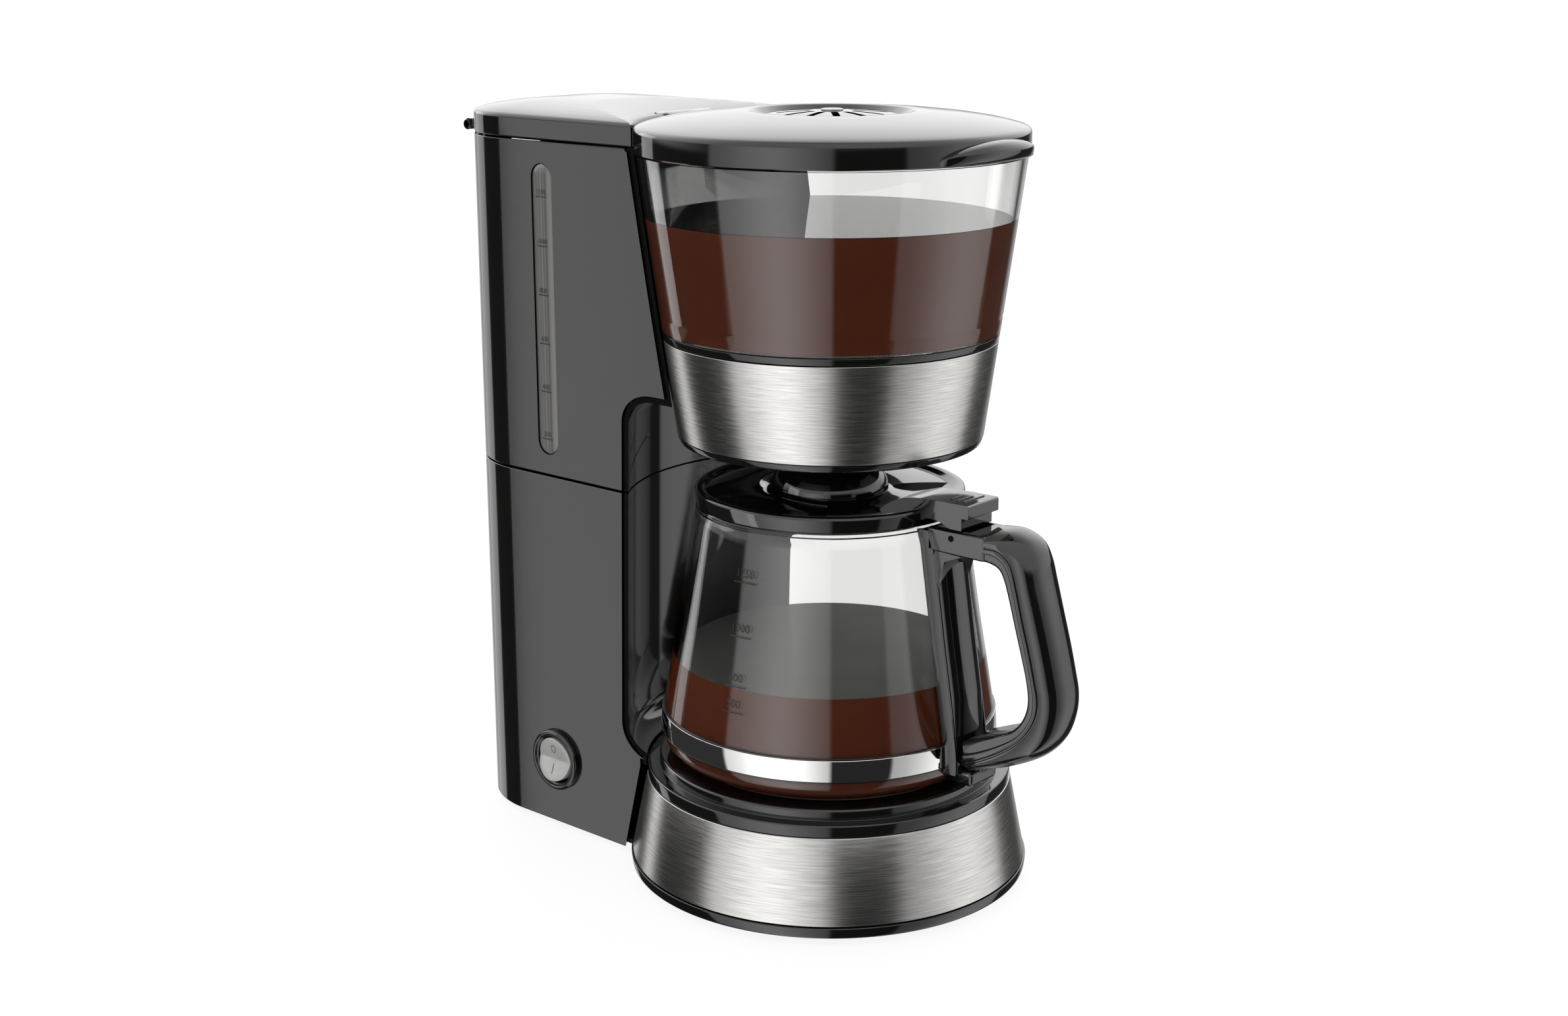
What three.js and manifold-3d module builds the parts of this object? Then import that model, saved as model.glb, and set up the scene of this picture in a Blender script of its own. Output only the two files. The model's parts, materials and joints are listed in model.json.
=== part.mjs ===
// Drip coffee maker: a water-tank tower with a base, a brew head and a glass carafe with its lid.
// Millimetres, +Z up, the front (carafe handle) faces -Y, the switch and level window are on -X.
// The origin is on the ground under the centre of the machine's bounding box.
import * as THREE from "three";
import { mergeVertices } from "three/addons/utils/BufferGeometryUtils.js";
import Module from "manifold-3d";

const wasm = await Module();
wasm.setup();

// ---------------------------------------------------------------- driving dimensions
const GAP = 0.35; // air between pieces that touch on the real machine
const WALL = 2.5; // moulded housing wall
const SKIN = 0.6; // brushed steel sheet
const SIDES = 32; // facets round a large turned piece
const SMALL = 12; // facets round a small turned piece

const tower = { halfWidth: 52, back: 178, corner: 42, bottom: 2.5, seam: 160.4, seamGap: 0.8, top: 300.8 };
const lidBand = { bottom: 301.5, top: 309.6, crown: 316.4, radius: 78, wall: 2 };
const bay = { floor: 47.8, footRadius: 12, lowRadius: 85, highRadius: 82.1, ceiling: 200, roofRadius: 10 };
const base = { lowZ: 8, lowR: 83, highZ: 42.2, highR: 76.3, ringTop: 47.4, ringInner: 60.2, footR: 83.7 };
const step = { radius: 71, top: 52 }; // raised seat of the hot plate inside the top ring
const plate = { radius: 57.6, top: 52, thickness: 2.2 };
const heater = { z: 44.6, coilRadius: 40, endX: 23, endY: 53.4, hoseZ: 37.5 };
const head = { bottom: 184.8, steelLow: 188, steelHigh: 226.8, glassLow: 230.4, glassHigh: 299.6 };
const cone = { lowZ: 187.9, lowR: 62.1, slope: 0.134 }; // outer surface of the brew head
const brewHinge = { y: 80.6, z: 310.8, pin: 1.1, halfWidth: 16 };
const tankHinge = { y: 180.8, z: 302.6, pin: 1.3, barrel: 2.8, halfWidth: 31 };
const gauge = { y: 111.5, low: 170, high: 291.5, width: 11.2, thickness: 2.1 };
const power = { y: 111.5, z: 32.2, bezelR: 14.6, holeR: 12.3, rockerR: 9.9, pivotX: -48.6, tilt: 6 };
const carafe = { bottom: 52.4, rim: 158.9, glass: 2.4, bandLow: 63.2, bandHigh: 71.8 };
const lid = { bottom: 159.3, radius: 55.2, domeRadius: 24, domeTop: 180.4, shell: 2 };
const handle = { halfWidth: 11, front: -122.8, pinY: -69.8, pinZ: 157.2, pinR: 1.25, slotHalf: 8.4 };
const drip = { hole: 8, stem: 6, tip: 183.4, flange: 11, springTop: 196 };
const filter = { floor: 199.4, floorR: 51, top: 227.6, topR: 61.8, wall: 1.5 };
const water = { outletX: 26, outletY: 118, riserY: 100, riserX: 0, hoseR: 4.6, pipeZ: 295.4, bore: 2.8 };
const shower = { radius: 20, bottom: 294.6, top: 298.8 };
const feet = { radius: 7, height: 3 };

// The machine's axes are laid out about the hot plate; this shift centres the bounding box.
const rearMost = tankHinge.y + tankHinge.barrel;
const plateY = -(rearMost + handle.front) / 2;

// ---------------------------------------------------------------- materials
function finish(color, roughness, metalness = 0, extra = {}) {
  return new THREE.MeshStandardMaterial({ color, roughness, metalness, ...extra });
}
const looks = {
  blackPlastic: finish(0x1b1b1a, 0.18),
  innerPlastic: finish(0x262625, 0.55),
  steel: finish(0xb9b7b2, 0.32, 1),
  mirror: finish(0xdedede, 0.08, 1),
  plateCoat: finish(0x1c1b1a, 0.45),
  aluminium: finish(0xb4b4b2, 0.4, 1),
  glass: finish(0xf2f5f4, 0.04, 0, { transparent: true, opacity: 0.3 }),
  smoke: finish(0x9c9a96, 0.15, 0, { transparent: true, opacity: 0.6 }),
  silver: finish(0xc9c9c7, 0.3, 0.6),
  rubber: finish(0x222222, 0.85),
  silicone: finish(0xd9d4cb, 0.6),
  mesh: finish(0x8a7f6a, 0.5),
};

// ---------------------------------------------------------------- solids and shapes
// A closed geometry as a manifold solid, its repeated vertices merged and its faces turned outward.
function solid(geometry) {
  const bare = geometry.clone();
  for (const name of Object.keys(bare.attributes)) {
    if (name !== "position") bare.deleteAttribute(name);
  }
  const merged = mergeVertices(bare, 1e-4);
  const position = merged.getAttribute("position").array;
  const index = merged.getIndex().array;
  const faces = [];
  let volume = 0;
  const [a, b, c] = [new THREE.Vector3(), new THREE.Vector3(), new THREE.Vector3()];
  for (let i = 0; i < index.length; i += 3) {
    const [p, q, r] = [index[i], index[i + 1], index[i + 2]];
    if (p === q || q === r || r === p) continue;
    a.fromArray(position, 3 * p);
    b.fromArray(position, 3 * q);
    c.fromArray(position, 3 * r);
    volume += a.dot(b.cross(c));
    faces.push(p, q, r);
  }
  const outward = volume > 0 ? faces : faces.reverse();
  const mesh = new wasm.Mesh({
    numProp: 3,
    vertProperties: new Float32Array(position),
    triVerts: new Uint32Array(outward),
  });
  return new wasm.Manifold(mesh);
}

function geometryOf(manifold) {
  const mesh = manifold.getMesh();
  const geometry = new THREE.BufferGeometry();
  geometry.setAttribute("position", new THREE.BufferAttribute(new Float32Array(mesh.vertProperties), 3));
  geometry.setIndex(new THREE.BufferAttribute(new Uint32Array(mesh.triVerts), 1));
  geometry.computeVertexNormals();
  return geometry;
}

// A profile of [radius, height] points turned about the Z axis at (x, y).
function turned(profile, sides = SIDES, x = 0, y = 0) {
  const points = profile.map(([r, z]) => new THREE.Vector2(r, z));
  const geometry = new THREE.LatheGeometry(points, sides);
  geometry.rotateX(Math.PI / 2);
  geometry.translate(x, y, 0);
  return solid(geometry);
}

function ring(inner, outer, z0, z1, sides = SIDES, x = 0, y = 0) {
  return turned([[inner, z0], [outer, z0], [outer, z1], [inner, z1], [inner, z0]], sides, x, y);
}

function rod(radius, z0, z1, x = 0, y = 0, sides = SMALL) {
  return turned([[0, z0], [radius, z0], [radius, z1], [0, z1]], sides, x, y);
}

// A round bar along X, centred at (y, z).
function crossRod(radius, x0, x1, y, z, sides = SMALL) {
  const geometry = new THREE.CylinderGeometry(radius, radius, x1 - x0, sides);
  geometry.rotateZ(Math.PI / 2);
  geometry.translate((x0 + x1) / 2, y, z);
  return solid(geometry);
}

function block(x0, x1, y0, y1, z0, z1) {
  const geometry = new THREE.BoxGeometry(x1 - x0, y1 - y0, z1 - z0);
  geometry.translate((x0 + x1) / 2, (y0 + y1) / 2, (z0 + z1) / 2);
  return solid(geometry);
}

// A flat outline in plan, raised from z0 to z1.
function raised(shape, z0, z1, curveSegments = 5) {
  const geometry = new THREE.ExtrudeGeometry(shape, { depth: z1 - z0, bevelEnabled: false, curveSegments });
  geometry.translate(0, 0, z0);
  return solid(geometry);
}

// An outline drawn in (Y, Z), as thick as 2 * half along X.
function sideCut(shape, half, curveSegments = 4) {
  const depth = 2 * half;
  const geometry = new THREE.ExtrudeGeometry(shape, { depth, bevelEnabled: false, curveSegments });
  const axes = new THREE.Matrix4().makeBasis(
    new THREE.Vector3(0, 1, 0),
    new THREE.Vector3(0, 0, 1),
    new THREE.Vector3(1, 0, 0),
  );
  geometry.applyMatrix4(axes);
  geometry.translate(-half, 0, 0);
  return solid(geometry);
}

// A tube, or a bar when bore is 0, along a smooth path of [x, y, z] points.
function tube(path, radius, bore, steps, sides = 8) {
  const shape = new THREE.Shape().absarc(0, 0, radius, 0, 2 * Math.PI);
  if (bore > 0) shape.holes.push(new THREE.Path().absarc(0, 0, bore, 0, 2 * Math.PI, true));
  const isCurve = path instanceof THREE.Curve;
  const curve = isCurve ? path : new THREE.CatmullRomCurve3(path.map((p) => new THREE.Vector3(...p)));
  const options = { extrudePath: curve, steps, curveSegments: sides / 2 };
  return solid(new THREE.ExtrudeGeometry(shape, options));
}

function union(...pieces) {
  return pieces.reduce((sum, piece) => sum.add(piece));
}

// Points of a quarter-like arc, for turned profiles.
function arc(centreR, centreZ, radius, from, to, count) {
  return Array.from({ length: count + 1 }, (_, i) => {
    const angle = THREE.MathUtils.degToRad(from + ((to - from) * i) / count);
    return [centreR + radius * Math.cos(angle), centreZ + radius * Math.sin(angle)];
  });
}

// ---------------------------------------------------------------- shared outlines
const coneR = (z) => cone.lowR + cone.slope * (z - cone.lowZ);
const baseSlope = (base.highR - base.lowR) / (base.highZ - base.lowZ);
const baseR = (z) => base.lowR + baseSlope * (z - base.lowZ);
const wallSlope = (bay.highRadius - bay.lowRadius) / (bay.ceiling - bay.floor);
const wallR = (z) => bay.lowRadius + wallSlope * (z - bay.floor);

// Plan of the tower, set in by some distance: straight sides, two large rear corners,
// and an open front at y = front.
function towerPlan(inset, front = 20) {
  const side = tower.halfWidth - inset;
  const radius = tower.corner - inset;
  const centreX = tower.halfWidth - tower.corner;
  const centreY = tower.back - tower.corner;
  const shape = new THREE.Shape();
  shape.moveTo(-side, front);
  shape.lineTo(side, front);
  shape.lineTo(side, centreY);
  shape.absarc(centreX, centreY, radius, 0, Math.PI / 2);
  shape.absarc(-centreX, centreY, radius, Math.PI / 2, Math.PI);
  shape.closePath();
  return shape;
}

// The round space in front of the tower: base, bay and brew head, grown by some distance.
function frontSpace(grow) {
  const foot = bay.floor + bay.footRadius;
  const roof = bay.ceiling - bay.roofRadius;
  const ringSide = base.highR + GAP;
  const lidSide = lidBand.radius + 0.6;
  const footArc = arc(wallR(foot) - bay.footRadius, foot, bay.footRadius + grow, -72, 0, 5);
  const roofArc = arc(wallR(roof) - bay.roofRadius, roof, bay.roofRadius + grow, 0, 90, 5);
  return turned([
    [0, 0],
    [baseR(0) + GAP + grow, 0],
    [ringSide + grow, base.highZ],
    [ringSide + grow, footArc[0][1]],
    ...footArc,
    ...roofArc,
    [coneR(bay.ceiling) + 0.8 + grow, bay.ceiling + grow],
    [coneR(head.glassHigh) + 0.8 + grow, head.glassHigh],
    [lidSide + grow, head.glassHigh + 0.2],
    [lidSide + grow, tower.top + 20],
    [0, tower.top + 20],
  ]);
}

const space = frontSpace(0);
const spaceGrown = frontSpace(WALL);

// ---------------------------------------------------------------- tower
function lowerHousing() {
  const top = tower.seam - tower.seamGap / 2;
  const shell = raised(towerPlan(0), tower.bottom, top).subtract(raised(towerPlan(WALL, 10), 0, 200));
  const switchHole = crossRod(power.holeR, -60, -45, power.y, power.z, 24);
  const cordHole = new THREE.CylinderGeometry(5.2, 5.2, 20, SMALL).translate(-20, tower.back, 22);
  const bossY = tower.back - 12;
  const bosses = [-27, 27].map((x) => union(
    rod(4.2, 6, 30, x, bossY),
    block(x - 1.5, x + 1.5, bossY, bossY + 6.5, 6, 30),
  ));
  return union(shell, ...bosses)
    .subtract(space)
    .subtract(switchHole)
    .subtract(solid(cordHole))
    .subtract(union(...[-27, 27].map((x) => rod(1.7, 0, 24, x, bossY))));
}

// The concave wall behind the carafe, from its curved foot up to the seam.
function bayWall() {
  const top = tower.seam - tower.seamGap / 2;
  return spaceGrown.subtract(space).intersect(block(-49.2, 49.2, 20, 130, base.highZ + 0.6, top));
}

// Upper housing: the water tank, with the curved front walls of the bay and of the brew head.
function upperHousing() {
  const bottom = tower.seam + tower.seamGap / 2;
  const floor = bottom + WALL;
  const body = raised(towerPlan(0), bottom, tower.top);
  const hollow = raised(towerPlan(WALL, 10), floor, tower.top + 10).subtract(spaceGrown);
  const pipeNotch = block(-6, 6, 60, 90, water.pipeZ - 6, tower.top + 1);
  const windowHole = block(-60, -45, gauge.y - gauge.width / 2 - GAP, gauge.y + gauge.width / 2 + GAP,
    gauge.low - GAP, gauge.high + GAP);
  const skirt = raised(towerPlan(WALL + GAP), bottom - 3, floor)
    .subtract(raised(towerPlan(WALL + GAP + 1.4, 10), 0, 200))
    .intersect(block(-60, 60, 95, 200, 0, 200));
  const ears = [-1, 1].map((side) => {
    const x = side * (brewHinge.halfWidth - 2.5);
    const post = block(x - 2.2, x + 2.2, 78.9, brewHinge.y + 2.2, tower.top - 6, brewHinge.z + 1.8);
    return post.subtract(crossRod(brewHinge.pin + 0.25, x - 5, x + 5, brewHinge.y, brewHinge.z));
  });
  const knuckle = crossRod(tankHinge.barrel, -9, 9, tankHinge.y, tankHinge.z)
    .add(block(-9, 9, tower.back - WALL, tankHinge.y + 1, tower.top - 8, tankHinge.z))
    .subtract(crossRod(tankHinge.pin + 0.25, -12, 12, tankHinge.y, tankHinge.z));
  const riserHole = rod(water.hoseR + 0.4, bottom - 8, floor + 2, water.riserX, water.riserY);
  const outletHole = rod(5.3, bottom - 8, floor + 2, water.outletX, water.outletY);
  const bosses = union(...headScrews.map(headScrewBoss)).subtract(space);
  return body
    .subtract(hollow)
    .subtract(space)
    .add(bosses)
    .subtract(headScrewHoles())
    .subtract(pipeNotch)
    .subtract(windowHole)
    .add(skirt)
    .add(union(...ears))
    .add(knuckle)
    .subtract(riserHole)
    .subtract(outletHole);
}

function stadium(width, low, high, centre) {
  const radius = width / 2;
  const shape = new THREE.Shape();
  shape.absarc(centre, high - radius, radius, 0, Math.PI);
  shape.absarc(centre, low + radius, radius, Math.PI, 2 * Math.PI);
  shape.closePath();
  return shape;
}

function gaugeWindow() {
  const outline = stadium(gauge.width, gauge.low, gauge.high, gauge.y);
  const x = -tower.halfWidth + gauge.thickness / 2 - 0.4;
  return sideCut(outline, gauge.thickness / 2).translate(x, 0, 0);
}

// The clear strip's sealing frame, behind it on the tank wall.
function gaugeSeal() {
  const frame = block(-49.2, -47.6, gauge.y - 8.5, gauge.y + 8.5, gauge.low - 3, gauge.high + 3);
  return frame.subtract(block(-50, -47, gauge.y - 4, gauge.y + 4, gauge.low + 4, gauge.high - 4));
}

// ---------------------------------------------------------------- lids
const hingePin = ({ pin, halfWidth, y, z }) => crossRod(pin, -halfWidth, halfWidth, y, z);

// Height of a crowned lid above its side band, from the band's edge (0) to the top (1).
function crownProfile(radius, drop, rise) {
  const top = lidBand.crown - drop;
  return [0.95, 0.7].map((t) => [
    radius * t,
    lidBand.top - drop + (top - lidBand.top + drop) * rise * (1 - t * t),
  ]);
}

function brewLid() {
  const { radius, wall, top } = lidBand;
  const low = head.glassHigh + 0.6;
  const outer = crownProfile(radius, 0, 1);
  const inner = crownProfile(radius - wall, wall, 1).reverse();
  const ventR = 31;
  const shell = turned([
    [radius - wall, low],
    [radius, low],
    [radius, top],
    ...outer,
    [ventR, 314.6],
    [ventR - 3, 312.2],
    [26, 312.2],
    [26, 310.4],
    [ventR, 310.4],
    ...inner,
    [radius - wall, top - wall],
    [radius - wall, low],
  ]);
  const lip = new THREE.Shape();
  lip.absarc(0, -radius + 6, 22, Math.PI, 2 * Math.PI);
  lip.closePath();
  const fingerLip = raised(lip, 303.4, 305.6, 8).subtract(rod(radius - 0.5, 300, 312, 0, 0, SIDES));
  const knuckleHalf = brewHinge.halfWidth - 5.3;
  const knuckle = crossRod(2.1, -knuckleHalf, knuckleHalf, brewHinge.y, brewHinge.z)
    .add(block(-knuckleHalf, knuckleHalf, radius - 1.6, brewHinge.y, top - 2.4, brewHinge.z + 0.6))
    .subtract(crossRod(brewHinge.pin + 0.25, -20, 20, brewHinge.y, brewHinge.z));
  return union(shell, fingerLip, knuckle);
}

function ventGrille() {
  let disc = turned([[0, 312.6], [27.6, 312.6], [27.6, 313.6], [9, 314.4], [0, 314.4]]);
  const slots = 12;
  for (let i = 0; i < slots; i += 1) {
    const slot = solid(new THREE.BoxGeometry(12, 2.4, 6).translate(18, 0, 313));
    disc = disc.subtract(slot.rotate(0, 0, (360 * i) / slots));
  }
  return disc;
}

function tankLid() {
  const frontR = lidBand.radius + 0.8;
  const front = turned([[0, 290], [frontR, 290], [frontR, lidBand.top], [frontR + 4.2, 317], [0, 317]]);
  const band = raised(towerPlan(0), lidBand.bottom, lidBand.top);
  const crown = [0.35, 0.7, 1].reduce((sum, t, i, all) => {
    const previous = i === 0 ? 0 : all[i - 1];
    const height = lidBand.crown - lidBand.top;
    const inset = 3 + 26 * t * t;
    const z0 = lidBand.top - 0.5 + height * previous;
    return sum.add(raised(towerPlan(inset), z0, lidBand.top + height * t, 6));
  }, raised(towerPlan(1.2), lidBand.top - 1, lidBand.top + 0.9, 6));
  const hollow = raised(towerPlan(lidBand.wall, 10), 295, lidBand.top - lidBand.wall)
    .subtract(rod(lidBand.radius + 0.8 + lidBand.wall, 290, 330, 0, 0, SIDES));
  const hingeNotch = crossRod(5.6, -25, 25, brewHinge.y, brewHinge.z + 0.6, 16)
    .add(block(-16.2, 16.2, 70, brewHinge.y + 4.4, 295, brewHinge.z));
  const barrels = [-1, 1].map((side) => {
    const [x0, x1] = side < 0 ? [-tankHinge.halfWidth, -9.4] : [9.4, tankHinge.halfWidth];
    return crossRod(tankHinge.barrel, x0, x1, tankHinge.y, tankHinge.z)
      .add(block(x0, x1, tower.back - 2, tankHinge.y, tankHinge.z - 1.5, tankHinge.z + 3));
  });
  const rearNotch = block(-9.4, 9.4, tower.back - 4, 190, 295, 330);
  return union(band, crown).subtract(hollow).subtract(front).subtract(hingeNotch).subtract(rearNotch)
    .add(union(...barrels))
    .subtract(crossRod(tankHinge.pin + 0.25, -40, 40, tankHinge.y, tankHinge.z));
}

// ---------------------------------------------------------------- base
// The band, skirt and foot run round the front only; the tower's side walls take their place behind.
const towerCut = block(-tower.halfWidth - GAP, tower.halfWidth + GAP, 30, 120, -10, 60);

function coneShell(z0, z1, outset, thickness, radiusAt) {
  return turned([
    [radiusAt(z0) + outset - thickness, z0],
    [radiusAt(z0) + outset, z0],
    [radiusAt(z1) + outset, z1],
    [radiusAt(z1) + outset - thickness, z1],
    [radiusAt(z0) + outset - thickness, z0],
  ]);
}

function baseHousing() {
  const inset = SKIN + GAP;
  const deck = ring(plate.radius - 1.5, baseR(42) - inset - 0.2, 39.6, 42);
  const skirt = coneShell(base.lowZ + 0.2, 42, -inset, WALL, baseR);
  const bosses = baseScrews.map(([x, y]) => rod(4.2, 6, 40.5, x, y));
  const holes = baseScrews.map(([x, y]) => rod(1.7, 0, 24, x, y));
  const hosePassage = block(-34, 34, 45, 100, -10, 60);
  return union(deck, skirt, ...bosses).subtract(union(...holes)).subtract(hosePassage);
}

function baseTopRing() {
  const outer = base.highR - 0.2;
  return turned([
    [base.ringInner, 42.4],
    [outer, 42.4],
    [outer, base.ringTop - 1.2],
    [outer - 1, base.ringTop],
    [step.radius, base.ringTop],
    [step.radius, step.top - 1],
    [step.radius - 1, step.top],
    [base.ringInner + 0.8, step.top],
    [base.ringInner, step.top - 0.8],
    [base.ringInner, 42.4],
  ]);
}

const baseSteelBand = () => coneShell(base.lowZ, base.highZ, 0, SKIN, baseR).subtract(towerCut);

function baseFootRing() {
  return turned([
    [base.footR - WALL, 3.2],
    [base.footR - 0.8, 3.0],
    [base.footR, 4.2],
    [base.footR - 0.2, base.lowZ - GAP],
    [base.footR - WALL, base.lowZ - GAP],
    [base.footR - WALL, 3.2],
  ]).subtract(towerCut);
}

const footSpots = [[-48, -42], [48, -42], [-34, 146], [34, 146]];
const baseScrews = [[-58, 28], [58, 28], [0, -68]];
const screwSpots = [...baseScrews, [-27, tower.back - 12], [27, tower.back - 12]];

function bottomCover() {
  const disc = rod(80.6, 3.3, 5.4, 0, 0, SIDES);
  const rear = raised(towerPlan(WALL + GAP, 20), 3.3, 5.4, 8);
  const holes = screwSpots.map(([x, y]) => rod(1.9, 0, 10, x, y));
  return union(disc, rear).subtract(union(...holes));
}

const foot = ([x, y]) => turned([
  [0, 0],
  [feet.radius - 0.6, 0],
  [feet.radius, 0.8],
  [feet.radius, feet.height],
  [0, feet.height],
], SMALL, x, y);

const screw = ([x, y]) => turned([
  [0, 1.6],
  [2.6, 1.6],
  [3.1, 2.2],
  [3.1, 2.95],
  [1.4, 2.95],
  [1.4, 16],
  [0, 17],
], 10, x, y);

const hotPlate = () => turned([
  [0, plate.top - plate.thickness],
  [plate.radius, plate.top - plate.thickness],
  [plate.radius, plate.top - 0.5],
  [plate.radius - 1, plate.top],
  [0, plate.top],
]);

const plateSeal = () => ring(plate.radius + GAP, base.ringInner - GAP, plate.top - 5.6, plate.top - 0.8);

// Aluminium water tube and heating rod, one C under the hot plate with its ends towards the tower.
function heaterTube() {
  const { z, coilRadius, endX, endY, hoseZ } = heater;
  const points = [[endX, endY, hoseZ], [endX - 1, endY - 7, hoseZ + 1.2]];
  for (let angle = 60; angle >= -240; angle -= 20) {
    const a = THREE.MathUtils.degToRad(angle);
    points.push([coilRadius * Math.cos(a), coilRadius * Math.sin(a), z]);
  }
  points.push([1 - endX, endY - 7, hoseZ + 1.2], [-endX, endY, hoseZ]);
  return tube(points, water.hoseR, 0, 28);
}

const underPlate = plate.top - plate.thickness - 0.6;
const heaterClamp = () => block(-5, 5, -48, 34, underPlate - 12.6, underPlate - 10.6)
  .add(rod(3, underPlate - 12.6, underPlate));
const thermostat = () => turned([[0, underPlate - 10.2], [8, underPlate - 10.2], [8, underPlate - 4.6],
  [5, underPlate - 4.6], [5, underPlate], [0, underPlate]], 20, 0, 20);
const thermalFuse = (x) => rod(2.2, underPlate - 10, underPlate, x, -14, 10);

// ---------------------------------------------------------------- water path
function tankOutlet() {
  const floor = tower.seam + tower.seamGap / 2 + WALL;
  const { outletX: x, outletY: y } = water;
  return turned([[2.4, 146], [4.8, 146], [4.8, floor + GAP], [8.5, floor + GAP], [8.5, floor + 2.4],
    [2.4, floor + 2.4], [2.4, 146]], SMALL, x, y);
}

function coldHose() {
  const { outletX: x, outletY: y, hoseR, bore } = water;
  const path = [
    [x, y, 145.4],
    [x, y, 120],
    [x, y + 2, 80],
    [x, y - 8, 50],
    [x - 1, 92, heater.hoseZ + 1],
    [x - 3, 72, heater.hoseZ],
    [heater.endX, 55, heater.hoseZ],
  ];
  return tube(path, hoseR, bore, 16, 6);
}

function riserHose() {
  const { riserX: x, riserY: y, hoseR, bore } = water;
  const path = [[-23, 55, 37.5], [-22, 72, 37.5], [-16, 92, 42], [-6, y + 1, 62], [x, y, 90], [x, y, 152]];
  return tube(path, hoseR, bore, 16, 6);
}

// Rigid pipe up through the tank and forward over the brew head.
function riserPipe() {
  const { riserX: x, riserY: y, hoseR, bore, pipeZ } = water;
  const bend = 14;
  const path = new THREE.CurvePath();
  const at = (py, pz) => new THREE.Vector3(x, py, pz);
  path.add(new THREE.LineCurve3(at(y, 152.6), at(y, pipeZ - bend)));
  path.add(new THREE.QuadraticBezierCurve3(at(y, pipeZ - bend), at(y, pipeZ), at(y - bend, pipeZ)));
  path.add(new THREE.LineCurve3(at(y - bend, pipeZ), at(21, pipeZ)));
  return tube(path, hoseR - 0.4, bore, 18, 6);
}

function showerHead() {
  const { radius, bottom, top } = shower;
  return turned([
    [0, bottom],
    [radius - 2, bottom],
    [radius, bottom + 1.4],
    [radius, top - 1],
    [radius - 2, top],
    [0, top],
  ], 32);
}

// ---------------------------------------------------------------- brew head
function headFrame() {
  const z0 = head.bottom + 0.3;
  const inset = SKIN + GAP;
  const cup = turned([
    [drip.hole, z0],
    [coneR(head.steelLow) - inset - 0.2, z0],
    [coneR(head.steelLow) - inset, head.steelLow],
    [coneR(head.steelHigh) - inset, head.steelHigh - 0.4],
    [coneR(head.steelHigh) - inset - 2, head.steelHigh - 0.4],
    [coneR(190) - inset - 2, z0 + 2.4],
    [drip.hole, z0 + 2.4],
    [drip.hole, z0],
  ]);
  const cageTop = drip.springTop + 1.8;
  const cage = ring(6.8, 15, drip.springTop + 0.2, cageTop, 16).add(ring(13, 15, z0 + 2, cageTop, 16));
  const cageWindows = block(-20, 20, -5, 5, z0 + 4.2, 194).add(block(-5, 5, -20, 20, z0 + 4.2, 194));
  return cup.add(cage.subtract(cageWindows)).subtract(headScrewHoles());
}

const headLowerRing = () => turned([
  [coneR(head.steelLow) - 0.8, head.bottom],
  [coneR(head.steelLow) - 0.2, head.bottom + 0.6],
  [coneR(head.steelLow) - 0.1, head.steelLow - GAP],
  [coneR(head.steelLow) - 0.8, head.steelLow - GAP],
  [coneR(head.steelLow) - 0.8, head.bottom],
]);

function headSteelBand() {
  return coneShell(head.steelLow, head.steelHigh, 0, SKIN, coneR).subtract(headScrewHoles());
}

const funnelTrim = () => turned([
  [coneR(228) - 3.6, head.steelHigh + GAP],
  [coneR(228) - 0.2, head.steelHigh + GAP],
  [coneR(230), head.glassLow - GAP],
  [coneR(230) - 3.8, head.glassLow - GAP],
  [coneR(228) - 3.6, head.steelHigh + GAP],
]);

const funnelGlass = () => coneShell(head.glassLow, head.glassHigh, 0, 2.2, coneR)
  .subtract(block(-4.8, 4.8, 60, 90, water.pipeZ - 4.8, head.glassHigh + 1));

// Screws through the head's rear wall into blind bosses on the tank's front wall.
const headScrews = [-8, 8];
const headScrewZ = 208;

function alongY(profile, x, z, sides = 10) {
  const points = profile.map(([r, y]) => new THREE.Vector2(r, y));
  return solid(new THREE.LatheGeometry(points, sides).translate(x, 0, z));
}

const headScrewHole = (x, y0, y1) => alongY([[0, y0], [1.8, y0], [1.8, y1], [0, y1]], x, headScrewZ);
const headScrewHoles = () => union(...headScrews.map((x) => headScrewHole(x, 50, 74)));
const headScrewBoss = (x) => alongY([[0, 66], [4.4, 66], [4.4, 76.5], [0, 76.5]], x, headScrewZ);
const headScrew = (x) => alongY([
  [0, 58.4],
  [3, 58.4],
  [3, 60.4],
  [1.5, 60.4],
  [1.5, 73],
  [0, 73],
], x, headScrewZ);

function filterBasket() {
  const { floor, floorR, top, topR, wall } = filter;
  return turned([
    [0, floor], [floorR, floor], [topR, top], [topR - wall - 1.5, top], [topR - wall - 1.5, top - 1.2],
    [topR - wall - 0.6, top - 1.2], [floorR - wall, floor + wall], [0, floor + wall],
  ]);
}

const filterGrip = () => block(-9, 9, -0.9, 0.9, filter.floor + filter.wall + 0.3, filter.top - 6);

// Drip stop: a spring-loaded valve that the carafe lid pushes up.
const dripPlunger = () => turned([
  [0, drip.tip], [3, drip.tip], [drip.stem, drip.tip + 1.4], [drip.stem, 189.4], [drip.flange, 189.4],
  [drip.flange, 191.2], [3.4, 191.2], [3.4, 192.4], [0, 192.4],
], 20);
const dripSeal = () => ring(drip.stem + 0.4, 10.4, 187.9, 189.1, 20);

function dripSpring() {
  const turns = 4;
  const height = drip.springTop - 191.9;
  class Helix extends THREE.Curve {
    getPoint(t, target = new THREE.Vector3()) {
      const angle = 2 * Math.PI * turns * t;
      return target.set(5 * Math.cos(angle), 5 * Math.sin(angle), 192 + (height - 0.6) * t);
    }
  }
  return tube(new Helix(), 0.4, 0, 32, 4);
}

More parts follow.
